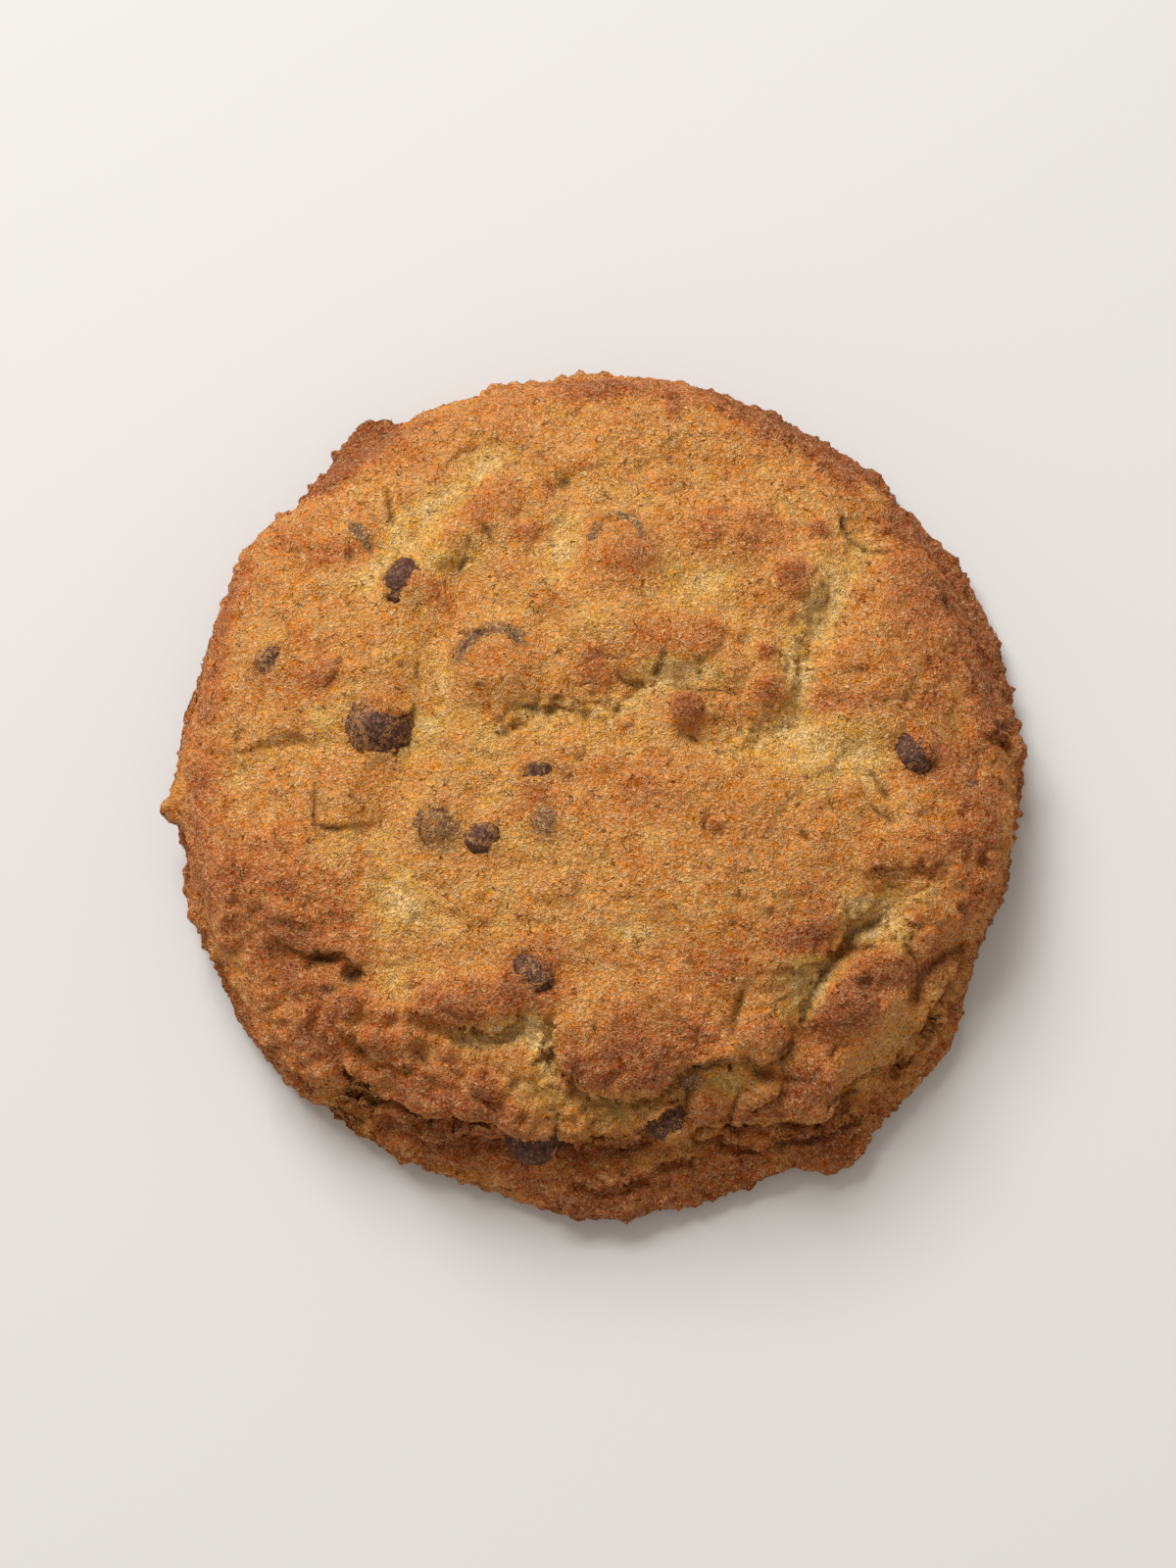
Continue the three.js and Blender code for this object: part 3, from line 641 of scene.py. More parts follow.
# For each chip, the strokes that lay it bare: half width, how dusty it is there, and the line.
BARE_PLACES = {
    "chip_west_large": [
        (1.3, 0.3, [(-29.2, 8.6), (-29.4, 5.4), (-28.2, 3.4)]),
        (2.2, 0.0, [(-28, 3.6), (-26.4, 5.4)]),
        (2.2, 0.1, [(-26, 4.4), (-23.2, 4.4)]),
        (1.0, 0.1, [(-22.8, 4.6), (-21.2, 5.6), (-20.4, 7.4)]),
    ],
    "chip_west_small": [(1.05, 0.5, [(-37.8, 14.8), (-39, 13)])],
    "chip_north_west": [
        (1.55, 0.05, [(-22.4, 24.8), (-23.7, 22.7)]),
        (0.95, 0, [(-24.2, 20.1), (-24.1, 18.6)]),
    ],
    "chip_centre": [
        (0.5, 0.35, [(-16, 13.8), (-14.9, 15.6), (-13, 16.4)]),
        (0.6, 0.3, [(-9.8, 16.3), (-9, 15.4)]),
    ],
    "chip_north": [(0.42, 0.5, [(-0.5, 28.4), (0.4, 29.8), (1.8, 30.5)])],
    "chip_south_west_left": [
        (0.8, 0.3, [(-19, -4.4), (-17.6, -4.4)]),
        (0.5, 0.3, [(-20.6, -5.6), (-20.9, -7.4), (-20.4, -9)]),
    ],
    "chip_south_west_right": [
        (1.7, 0.0, [(-15.4, -9.4), (-13.6, -8.4)]),
        (1.4, 0.2, [(-13.6, -7.2), (-11.8, -7.4)]),
    ],
    "chip_middle": [
        (0.8, 0.1, [(-8.2, -0.5), (-7, -0.3)]),
        (1.1, 0.0, [(-7, -0.2), (-6, 0)]),
    ],
    "chip_south": [
        (1.5, 0.25, [(-9.2, -22.2), (-7.4, -23.4)]),
        (1.6, 0.1, [(-7, -24.2), (-5.2, -25.4)]),
    ],
    "chip_east": [(1.75, 0.1, [(35.3, 3.8), (37.9, -0.2)])],
    "chip_front": [(2.6, 0.0, [(-11, -42.5), (-3, -43.3)])],
    "chip_front_crack": [(1.6, 0.2, [(6.2, -41.4), (8.8, -39.4)])],
}


def reach_to(piece, points):
    """Distance from each point to the piece's surface, in millimetres."""
    surface = BVHTree.FromObject(piece, bpy.context.evaluated_depsgraph_get())
    return np.array([surface.find_nearest(point * MM)[3] for point in map(Vector, points.tolist())]) / MM


points = points_of(dough)
wander = 0.4 * noise_at(points, 1.3, seed=31.0) + 0.3 * noise_at(points, 0.6, seed=32.0)
bare = np.zeros(len(points), bool)
for node, chip in chips.items():
    surface = points_of(chip)
    dusted = np.zeros(len(surface))
    for half, dust, line in BARE_PLACES.get(node, []):
        share = stroke_distance(surface, line) / half
        dusted = np.maximum(dusted, (share < 1.3) * (dust + 0.5 * smoothstep(0.6, 1.2, share)))
    store(chip, "dusted", dusted)
    low, high = (np.array(corner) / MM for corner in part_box(node))
    beside = (np.abs(points - (low + high) / 2) < (high - low) / 2 + 1.5).all(axis=1)
    shown = np.zeros(len(points), bool)
    for half, _, line in BARE_PLACES.get(node, []):
        shown |= stroke_distance(points, line) / half + wander < 1
    shown &= beside
    shown[shown] = reach_to(chip, points[shown]) < COAT_REACH / MM
    bare |= shown
    for mode, share in (("OUTSIDE", beside & ~shown), ("INSIDE", shown)):
        if share.any():
            group = paint(dough, "wrap", share.astype(float))
            modify(
                dough,
                "SHRINKWRAP",
                target=chip,
                wrap_method="NEAREST_SURFACEPOINT",
                wrap_mode=mode,
                offset=CRUST_OVER_CHIP,
                vertex_group=group.name,
            )
            dough.vertex_groups.clear()
print("bare places:", int(bare.sum()), "vertices drawn down")

# %% [markdown]
# The base baked flat on the tray, so it needs few faces. Decimate collapses edges there first, then a few of
# the flattest ones elsewhere, which brings the piece under the number of faces that a part may have.

# %% Dough: a plain base
FACE_LIMIT = 196_000
points = points_of(dough)
on_base = points[:, 2] < 0.12
faces_now = 2 * len(dough.data.polygons)
store(dough, "bare", bare)
group = paint(dough, "base", np.where(on_base, 1.0, 0.1))
modify(dough, "DECIMATE", ratio=FACE_LIMIT / faces_now, vertex_group=group.name, vertex_group_factor=10)
dough.vertex_groups.clear()
faces_left = sum(len(face.vertices) - 2 for face in dough.data.polygons)
print("dough:", faces_now, "triangles before,", faces_left, "after")

# %% [markdown]
# Browning follows the oven's heat: what stands high and what lies at the rim takes colour first, and the
# bottoms of the creases stay pale. The height over the surroundings is measured in plan, and patches and
# strokes are laid over it, darker or paler, as they lie on this cookie.


# %% Browning
def surrounding_height(points, upward, cell=1.0, rounds=14):
    """The mean height of the top around each point, from cells in plan, blurred by averaging neighbours."""
    reach = 60
    size = int(2 * reach / cell)
    column, row = ((points[:, :2] + reach) / cell).astype(int).clip(0, size - 1).T
    total, count = np.zeros((size, size)), np.zeros((size, size))
    np.add.at(total, (row[upward], column[upward]), points[upward, 2])
    np.add.at(count, (row[upward], column[upward]), 1)
    for _ in range(rounds):
        total = total + sum(np.roll(total, s, a) for s in (-1, 1) for a in (0, 1))
        count = count + sum(np.roll(count, s, a) for s in (-1, 1) for a in (0, 1))
        total, count = total / 5, count / 5
    return (total / np.maximum(count, 1e-9))[row, column]


# Most dabs and strokes are the crust's own tone; the ones marked below paint shade where it falls, and one
# paints light.
# Dabs of tone: where, half length and half width, turn in degrees, and how much browner they are.
BROWN_OVALS = {
    "south chip shade": ((-6.8, -24), (4.4, 3), -20, 0.24),
    # Painted shade under the front left lip.
    "front left edge": ((-20, -41.6), (7, 1.8), -22, 0.34),
    # Browner crust and painted shade on the south mound's lower edge, which faces away from the lamp.
    "south mound rim": ((2, -35.4), (5, 1.4), 0, 0.2),
    "north-west edge": ((-46.4, 20), (2, 7), 10, 0.34),
    "river deep": ((23, 10), (2, 3.4), 0, -0.42),
    "river upper": ((27, 22), (2, 5), 0, -0.22),
    "east cleft pale": ((30, -17.4), (2.4, 2.6), 0, -0.5),
    "cleft pale low": ((25.2, -23.4), (3, 2), 0, -0.32),
    # Painted light: paler on the south-east flank, which faces away from the lamp.
    "south-east side pale": ((38.4, -28.6), (2, 5), -20, -0.2),
    "south-east foot pale": ((30, -39), (3, 2), 0, -0.34),
    "south-west foot pale": ((-31, -38.6), (4, 2), -35, -0.12),
    "middle pale": ((4, 4), (7, 2.4), 0, -0.18),
    "valley west pale": ((-14, 2), (3, 4), 0, -0.14),
    "south-west low": ((-36, -21), (5.5, 3.6), -20, 0.36),
    "south-west foot": ((-33, -28.5), (3.4, 5.5), 25, 0.3),
    "south-west ridge": ((-24, -29.5), (5, 3), -10, 0.2),
    "front left low": ((-18.6, -37.8), (5, 2.6), -15, 0.16),
    "front left inner": ((-11.6, -37.5), (3.4, 4), 0, 0.2),
    "front lip shade": ((-6, -41.4), (7.5, 1.5), -6, 0.08),
    "south mound front": ((4, -34.6), (6, 2.6), 6, 0.32),
    "around the south chip": ((-7.4, -22.8), (6, 4.4), -20, 0.24),
    "south middle": ((12, -22.6), (5, 3.4), 0, 0.32),
    # Painted shade under the crown's edge.
    "crown foot": ((22, -19.6), (4.4, 1.7), 0, 0.36),
    "south-east upper": ((34.6, -22.6), (5, 3), 20, 0.32),
    "south-east knob": ((29, -27.4), (3.6, 3.2), 0, 0.22),
    "south-east flank": ((24.8, -31.6), (3, 4), -25, 0.44),
    "south-west inner low": ((-27, -21.6), (4, 2.4), 0, 0.2),
    "south ridge foot": ((-15, -28.6), (3, 1.2), 0, 0.14),
    "mound edge pale": ((32, 16), (4, 5), 0, -0.18),
    "west small pale": ((-39, 14.4), (3.4, 3), 0, -0.14),
    "skirt right pale": ((13, -46), (5, 1.6), 0, -0.08),
    "south-west high pale": ((-36, -16.8), (3.4, 1.6), 0, -0.16),
    "hollow east pale": ((9, 11.4), (4, 2), 0, -0.28),
    "south-east lower": ((20.5, -37.4), (6, 2.4), 30, 0.4),
    "front right low": ((10, -39), (4, 2), 10, 0.2),
    "east middle": ((43, -5), (3, 10), 0, 0.2),
    "around the east chip": ((38, 1.6), (5, 3), 0, 0.28),
    "east inner": ((31.6, -7.4), (2.8, 3), 0, 0.12),
    "east shoulder foot": ((38, -12.6), (4.5, 2), 0, 0.1),
    "middle dark": ((5, -4.2), (3.6, 2.6), 0, 0.12),
    "under the middle": ((-5, -4.4), (5, 2), 0, 0.26),
    "south-west chips": ((-16.6, -10.6), (3.2, 1.5), 10, 0.14),
    "west valley floor": ((-23, -2.6), (1.9, 4.8), 0, 0.17),
    "west valley upper": ((-17.6, 16.6), (1.9, 6), 10, 0.14),
    "beside the large chip": ((-20, 8), (2, 2.6), 0, 0.16),
    "north-east slope pale": ((31.6, 31), (4, 3.6), 0, -0.14),
    "west rim low": ((-47.6, -12), (2, 6), 0, 0.2),
    "east rim high": ((44.4, 8), (1.8, 5), 0, 0.14),
    "hollow pale": ((13, 11), (5, 2), 0, -0.1),
    "cleft pale high": ((30, -16.6), (2.6, 2.4), 0, -0.12),
    "south-east rim pale": ((39.4, -31), (2.6, 4), -30, -0.06),
    "south-west dent pale": ((-29.4, -38.4), (3.4, 2), -30, -0.24),
    "south edge pale": ((2.4, -38.6), (4.4, 2), 0, -0.12),
    "east edge pale": ((46.6, -18), (1.8, 4), -20, -0.1),
    "ledge pale west": ((-13, -31), (4, 1.2), 0, -0.12),
    "south-west lip": ((-22, -37.4), (3.4, 1.8), -15, 0.16),
    "south mound crest": ((5, -31.6), (5, 3), 0, 0.1),
    "south-east flank low": ((25.2, -32.4), (2, 2.4), 0, 0.12),
    "south-east crest": ((33.4, -24.2), (4, 2), 0, 0.1),
    "east rim middle": ((43.6, -2.6), (3, 4), 0, 0.12),
    "middle crest": ((5, -4.2), (3, 2), 0, -0.04),
    "west floor": ((-23.4, -3), (2, 3), 0, 0.08),
    "south-west high": ((-40, -12.6), (4, 2), 0, 0.1),
    "north-east rim dark": ((17, 49.6), (5, 1.6), -20, 0.3),
    "north-east dark": ((38, 34.6), (1.8, 5), 40, 0.3),
    "north-east knob": ((24.2, 28.6), (2.6, 2), 0, 0.12),
    "below the river knob": ((15.4, 6.6), (2, 2.4), 0, 0.04),
    "north-west middle": ((-29.6, 26.2), (6, 1.8), 5, 0.28),
    "west dip": ((-33.6, 10.6), (3, 2.4), 0, 0.2),
    "north-west hollow": ((-21, 34.6), (3, 4), 0, 0.1),
    "north low": ((-3, 23.4), (5, 2.6), 0, 0.1),
    "below the red": ((15.6, 5.6), (2.6, 2.6), 0, 0.1),
    "east dab upper": ((27.6, 8.2), (4, 1.4), 0, 0.26),
    "north edge": ((4, 48), (14, 2.2), 0, 0.2),
    "river wide": ((26, 20.6), (2.8, 6), 0, -0.26),
    "north-east pale": ((33, 35.6), (3, 3.4), 0, -0.44),
    "north-east pale low": ((40, 27), (3.6, 2.2), -40, -0.28),
    "ridge pale": ((0.4, 17), (3.4, 3), 0, -0.46),
    "north-west knob pale": ((-18, 26.4), (3, 3), 0, -0.4),
    "west knob pale": ((-23.6, 13.6), (2.8, 2.8), 0, -0.22),
    "west flank pale": ((-30.4, -7), (3.6, 6), 0, -0.28),
    "west valley pale": ((-22.6, -15.4), (4.2, 3.6), 0, -0.28),
    "river foot pale": ((26, 0.4), (6, 3.6), 0, -0.28),
    "crown pale": ((21, -13), (8, 4.6), 0, -0.14),
    "cleft pale": ((24.8, -24), (2.6, 2.6), 0, -0.5),
    "ledge pale": ((-10, -29.6), (2.4, 1.4), 0, -0.32),
    "north-west rim pale": ((-33, 35), (3, 3), 0, -0.16),
    "east mound foot pale": ((36, 9.6), (3.6, 3), 0, -0.1),
    "centre pale": ((-5, 37), (8, 3.6), 0, -0.06),
    "east mound": ((35, 17.5), (8.5, 11), 5, 0.26),
    "east mound foot": ((37.5, 8.5), (4.5, 3.5), 0, 0.14),
    "north-east mound": ((15.5, 29.2), (6.2, 3.4), -8, 0.28),
    "middle ridge": ((6.5, 16), (7, 3), -12, 0.22),
    "ridge west": ((-1.5, 13), (4, 4.5), 0, 0.14),
    "centre cover": ((-12, 11.6), (4, 3.6), 0, 0.06),
    "north chip cover": ((3.4, 25), (3.4, 3.6), 0, 0.2),
    "south-west mound": ((-37, -12), (10, 8), -10, 0.3),
    "south-west inner": ((-30, -17.5), (5, 3.6), -20, 0.16),
    "west rim": ((-46, 4), (3, 10), 0, 0.15),
    "north-west shoulder": ((-32.2, 26.8), (3.6, 2.2), 15, 0.24),
    "north-west side": ((-33.6, 12.4), (4, 3.4), 0, 0.16),
    "north-west rim": ((-43, 24.5), (2, 3.4), 0, 0.25),
    "south mound": ((5, -31.5), (5.5, 4.5), 15, 0.34),
    "south mound west": ((-2.5, -34), (1.8, 2.4), 0, 0.2),
    "crown": ((21, -13), (11, 7.5), -10, 0.12),
    "crown corner": ((25.5, -18), (4, 3.6), 0, 0.2),
    "east shoulder": ((39, -8.6), (6, 3), -5, 0.24),
    "east edge": ((46, -6), (3, 9), 0, 0.06),
    "south-east shoulder": ((38.5, -17.6), (3.5, 2.4), 0, 0.16),
    "south ridge": ((-15.5, -26.8), (7.5, 2.8), 0, 0.32),
    "front left": ((-22, -36), (10, 4), -28, 0.2),
    "middle": ((5.5, -2.6), (6.5, 3.4), -15, 0.22),
    "north-west ridge": ((-13.5, 31.5), (4.5, 2.6), 42, 0.16),
    "under the middle chip": ((-7.5, -3.2), (2.5, 1.6), 0, 0.12),
    "east dab": ((28, 8), (3, 1.5), 0, 0.14),
    "east dab low": ((29, -1.4), (1.8, 1.6), 0, 0.14),
    "west patch": ((-29, -3), (3.4, 3), 0, 0.12),
}
# Strokes of tone: half width, how much browner or, in the second set, how much paler they are, and the line.
BROWN_STROKES = {
    "north-east band": (2.8, 0.3, [(48, 6), (45.4, 18), (40.6, 27), (34.6, 34), (27, 40.4), (18, 46)]),
    # Browner crust, and painted shade where the tab lies low behind the cap's edge.
    "north-west tab": (2.6, 0.95, [(-34, 37), (-30, 41), (-26.5, 43.6)]),
    # Painted shade in the crevice between the cap's edge and the skirt.
    "far north-east": (2, 0.45, [(49, 13), (44.6, 27), (37, 36), (27, 44.4), (16, 49)]),
    # Painted shade under the front lip, in this stroke and the next.
    "under the lip": (1.1, 0.4, [(-24, -39.6), (-18, -40.8), (-12, -42), (-8, -43.2), (-2, -43.4)]),
    "under the lip east": (0.7, 0.35, [(-1, -43.4), (3.6, -42.9), (6, -41.6)]),
    # Painted shade in the south-east groove.
    "south-east groove": (1.3, 0.25, [(42.6, -19.2), (39.6, -21.4), (37.4, -23.2), (37.2, -25.4)]),
    # Painted shade on the skirt under the south-east lumps.
    "south-east foot": (1.2, 0.25, [(32.6, -38), (28, -41), (24, -42.4)]),
    "south-east outer": (1.2, 0.08, [(44, -24), (41.4, -30), (38.4, -35), (34.4, -38.8)]),
}
PALE_STROKES = {
    "river": (2, 0.32, [(31.5, 27), (28, 24), (26.6, 20.4), (23, 16), (22.4, 12)]),
    "river foot": (2.6, 0.3, [(16.5, 3.6), (21, 4.4), (28, 4.8), (32.5, 3)]),
    "north hollow": (2.4, 0.26, [(8.4, 24), (12.4, 22.6)]),
    "north dip": (1.6, 0.27, [(-4, 30.4), (-4.4, 26), (-5, 22.6)]),
    "north arch": (1.4, 0.15, [(1, 33), (5, 32.6)]),
    "middle crack": (1.5, 0.27, [(-8, 6.6), (-1, 6.6), (4.4, 7.4), (7, 11)]),
    "ridge hollow": (1.5, 0.2, [(6, 12), (11, 11.6), (17.4, 12.6)]),
    "west valley": (2.8, 0.22, [(-18.5, 12), (-19.4, 6), (-22, 1), (-23.4, -5), (-24, -11), (-22.4, -16)]),
    "west valley low": (1.5, 0.3, [(-25, -21), (-23, -26)]),
    "beside the west chip": (1.6, 0.2, [(-32.6, 8), (-31.4, 3.6)]),
    "north-west valley": (2.2, 0.27, [(-12.6, 38.4), (-18, 33.4), (-23.4, 28.4), (-27, 23)]),
    "east crack": (1.9, 0.46, [(29.6, -15.8), (33.2, -17), (35, -19)]),
    "east crack end": (1.1, 0.22, [(34, -14.4), (40, -13)]),
    "south-east cleft": (1.7, 0.35, [(24, -23), (23.6, -27)]),
    "south valley": (1.5, 0.32, [(-8, -28.6), (-6.4, -32), (-5, -37)]),
    "ridge ledge": (1.4, 0.3, [(-16, -30.4), (-10, -30.4)]),
    "golden middle": (6, 0.09, [(-12, 0), (-4, -12), (-14, -16)]),
    "front lip": (2.4, 0.18, [(-12, -35), (-4, -39.5), (6, -38.6)]),
    "dip": (1.2, 0.22, [(5.6, -8), (7, -9)]),
    "lower dip": (1, 0.22, [(2, -19), (5, -19)]),
    "pale lump": (1.4, 0.26, [(13, -35.4), (17, -37.6), (20.6, -36)]),
    "south-east hollow": (1.5, 0.22, [(34.6, -25), (33.6, -29.6)]),
    "south-east rim": (3, 0.22, [(40, -24), (38, -29.6), (33, -35)]),
    "skirt left": (3, 0.2, [(-27, -40), (-17, -45), (-10, -47.5)]),
    "skirt middle": (2.6, 0.06, [(2, -45.6), (10, -43.6), (22, -43.4)]),
    "far east": (1.3, 0.15, [(42.6, 11), (43, 7)]),
    "west": (1.2, 0.15, [(-41.6, 1.6), (-38, 2.4)]),
}
MEAN_TONE, SIDE_TONE = 0.42, 0.52
TONE_PER_MILLIMETRE = 0.12  # of height over the surroundings
RIM_TONE, FOOT_TONE = 0.14, 0.42  # browner by this at the rim, and low on the side


def browning_and_painted_shading(points, normals):
    """How brown the crust is, with the painted shade of some dabs and strokes and the painted light of one,
    from 0 in a pale crease to 1 on the dark foot.
    """
    radius = np.hypot(points[:, 0], points[:, 1])
    upward = normals[:, 2] > 0.35
    above = points[:, 2] - surrounding_height(points, upward)
    tone = MEAN_TONE + TONE_PER_MILLIMETRE * np.clip(above, -1.5, 1.5)
    for at, half, turn, browner in BROWN_OVALS.values():
        tone += browner * oval(points, at, half, turn)
    for half, browner, line in BROWN_STROKES.values():
        tone += browner * stroke(points, line, half, 2.5)
    for half, paler, line in PALE_STROKES.values():
        tone -= paler * stroke(points, line, half)
    for at, half, _, browner in KNOBS.values():
        tone += browner * oval(points, at, half)
    tone += 0.12 * noise_at(points, 7.0, seed=41.0) + 0.2 * noise_at(points, 2.4, seed=42.0)
    rim = smoothstep(44, 50, radius) * RIM_TONE
    low = (1 - smoothstep(4, 10.5, points[:, 2])) * FOOT_TONE
    tone = np.where(upward, tone, SIDE_TONE + 0.14 * noise_at(points, 3.0, seed=43.0))
    return np.clip(tone + rim + low, 0, 1)


points, normals = points_of(dough), normals_of(dough)
store(dough, "browning_and_painted_shading", browning_and_painted_shading(points, normals))

# Where chocolate shows through a thin crust: dabs and smudges with their strength.
STAINS = {
    "chip under the middle": ((-6.1, -6.2), (1.8, 2.1), 0.75),
    "grey crack": ((10.6, -35.6), (2, 1.1), 0.7),
    "east speck": ((43.5, -0.6), (0.9, 0.6), 1.0),
    "dusty south-west chip": ((-18.3, -6.9), (2.7, 2.7), 0.6),
    "dusty west chip": ((-28, 7.6), (2, 1.4), 0.5),
    "west small chip": ((-38.8, 13.8), (2, 1.6), 0.3),
    "east spot": ((46.4, -6.6), (0.8, 1.2), 0.4),
    "north dome": ((2.2, 28.2), (2, 1.4), 0.12),
}
SMUDGES = {
    "centre crescent": (1.0, 0.8, [
        (-16, 13.2), (-15.4, 14.8), (-14, 16), (-12.4, 16.6), (-10.8, 16.5), (-9.4, 16), (-9, 14.8)
    ]),
    "north crescent": (0.55, 0.8, [
        (-0.8, 27.6), (-0.2, 29.1), (0.9, 30.2), (2.4, 30.7), (4, 30.2), (4.9, 29), (5, 27.4)
    ]),
    "north crescent foot": (0.5, 0.3, [(4.6, 26.4), (5, 25), (4.4, 23.6)]),
    "middle chip tail": (0.6, 0.5, [(-5.6, -0.3), (-3.6, -0.2)]),
    "middle chip speck": (0.4, 0.5, [(-3.8, -1.3), (-3.6, -1.6)]),
    "streak": (0.5, 0.8, [(-29, 29.9), (-27.9, 28.5), (-26.8, 27)]),
    "second streak": (0.4, 0.7, [(-27.9, 29.9), (-27, 28.4)]),
    "third streak": (0.3, 0.5, [(-25.9, 26.4), (-25.3, 25.9)]),
    "south-west arc": (0.6, 0.75, [(-20.4, -4.8), (-20.9, -7), (-20.3, -9.2)]),
    "south tail": (0.5, 0.3, [(-7.4, -26.6), (-6.6, -29), (-5.4, -30.6)]),
}
stain = np.zeros(len(points))
patchy = 0.5 + 0.6 * noise_at(points, 0.6, seed=51.0)
for at, half, depth in STAINS.values():
    stain = np.maximum(stain, depth * oval(points, at, half, power=3) * (0.55 + 0.9 * patchy))
for half, depth, line in SMUDGES.values():
    stain = np.maximum(stain, depth * stroke(points, line, half, 3) * (0.45 + 0.9 * patchy))
store(dough, "stain", np.clip(stain, 0, 1))
# Painted shade: the bottoms of pits and cracks are darkened.
shadow = np.zeros(len(points))
for at, half, _, dark in PITS.values():
    shadow = np.maximum(shadow, dark * oval(points, at, half, power=3))
for half, _, line in CRACKS.values():
    bottom = stroke(points, line, max(0.5 * half, 0.27))
    shadow = np.maximum(shadow, 0.75 * bottom * smoothstep(-0.2, 0.3, patchy))
store(dough, "shadow", shadow)
strokes = len(BROWN_STROKES) + len(PALE_STROKES)
print("browning painted:", len(BROWN_OVALS), "dabs,", strokes, "strokes,", len(STAINS), "stains")

# %% [markdown]
# ** Baked dough.** A cookie's crust is dry foam: butter and sugar browned by the oven, matt, with pores where bubbles broke. The painted browning, with painted shade in some places, picks a colour from a ramp: straw in the creases, gold on the flats, brown on the mounds. Noise of three grains breaks it up, and turns specks lighter and paler or darker and richer: partly the crust's own tone, partly painted shade and highlight on the fine grain. A web of fine raised threads, paler than the skin between them, is what the eye reads as crispness; their pale colour is partly painted highlight. Pores and broken hair cracks are sunk and darkened with painted shade.

# %% Material: baked dough
CRUST_COLOURS = [
    (0.0, "#f9d288"),
    (0.2, "#eeb350"),
    (0.4, "#e79d44"),
    (0.6, "#dd8732"),
    (0.8, "#c96d29"),
    (1.0, "#a75522"),
]
# Noises that break the crust up: grain in millimetres, share in the tone, twist, and share in the lightness.
# The lightness share is partly the crust's own tone and partly painted shade and highlight on the fine grain.
SPECKLES = ((3.2, 0.16, 0.5, 0.2), (0.9, 0.08, 1.0, 0.55), (0.32, 0.0, 1.5, 1.1))
WEB_SIZE = 0.54  # millimetres between threads
PORE_SPACINGS = (1.2, 0.52)  # millimetres
GRAIN_HEIGHT = 0.45 * MM
# Threads are paler crisp crust, and this colour also paints the highlights on them.
THREAD_AND_HIGHLIGHT_COLOUR = "#ffd394"
# Painted shade in pores and hair cracks.
PORE_SHADE_COLOUR = "#64320f"
# Painted shade at the bottoms of pits and cracks.
PIT_SHADE_COLOUR = "#4c2810"
STAIN_COLOUR = "#6a5042"


def grain_size(millimetres):
    """The scale of a noise texture whose bumps have this size, for coordinates in metres."""
    return 1 / (millimetres * MM)


def noise_node(tree, place, grain, detail=2.0, twist=0.0):
    """A noise texture with bumps of this size in millimetres."""
    settings = {"Vector": place, "Scale": grain_size(grain), "Detail": detail, "Distortion": twist}
    return add_node(tree, "ShaderNodeTexNoise", settings)


def painted(tree, name):
    """A number that was stored for each vertex."""
    return add_node(tree, "ShaderNodeAttribute", attribute_name=name).outputs["Fac"]


def calculate(tree, operation, *inputs):
    """A Math node's output."""
    return add_node(tree, "ShaderNodeMath", dict(enumerate(inputs)), operation=operation).outputs[0]


def blend(tree, share, under, over):
    """A colour mixed over another."""
    over = over if isinstance(over, bpy.types.NodeSocket) else linear(over)
    return add_node(tree, "ShaderNodeMix", {0: share, 6: under, 7: over}, data_type="RGBA").outputs[2]


def fade(tree, value, start, end, low=0.0, high=1.0):
    """Maps a value from one range to another and clips it."""
    settings = {"Value": value, "From Min": start, "From Max": end, "To Min": low, "To Max": high}
    return add_node(tree, "ShaderNodeMapRange", settings).outputs[0]


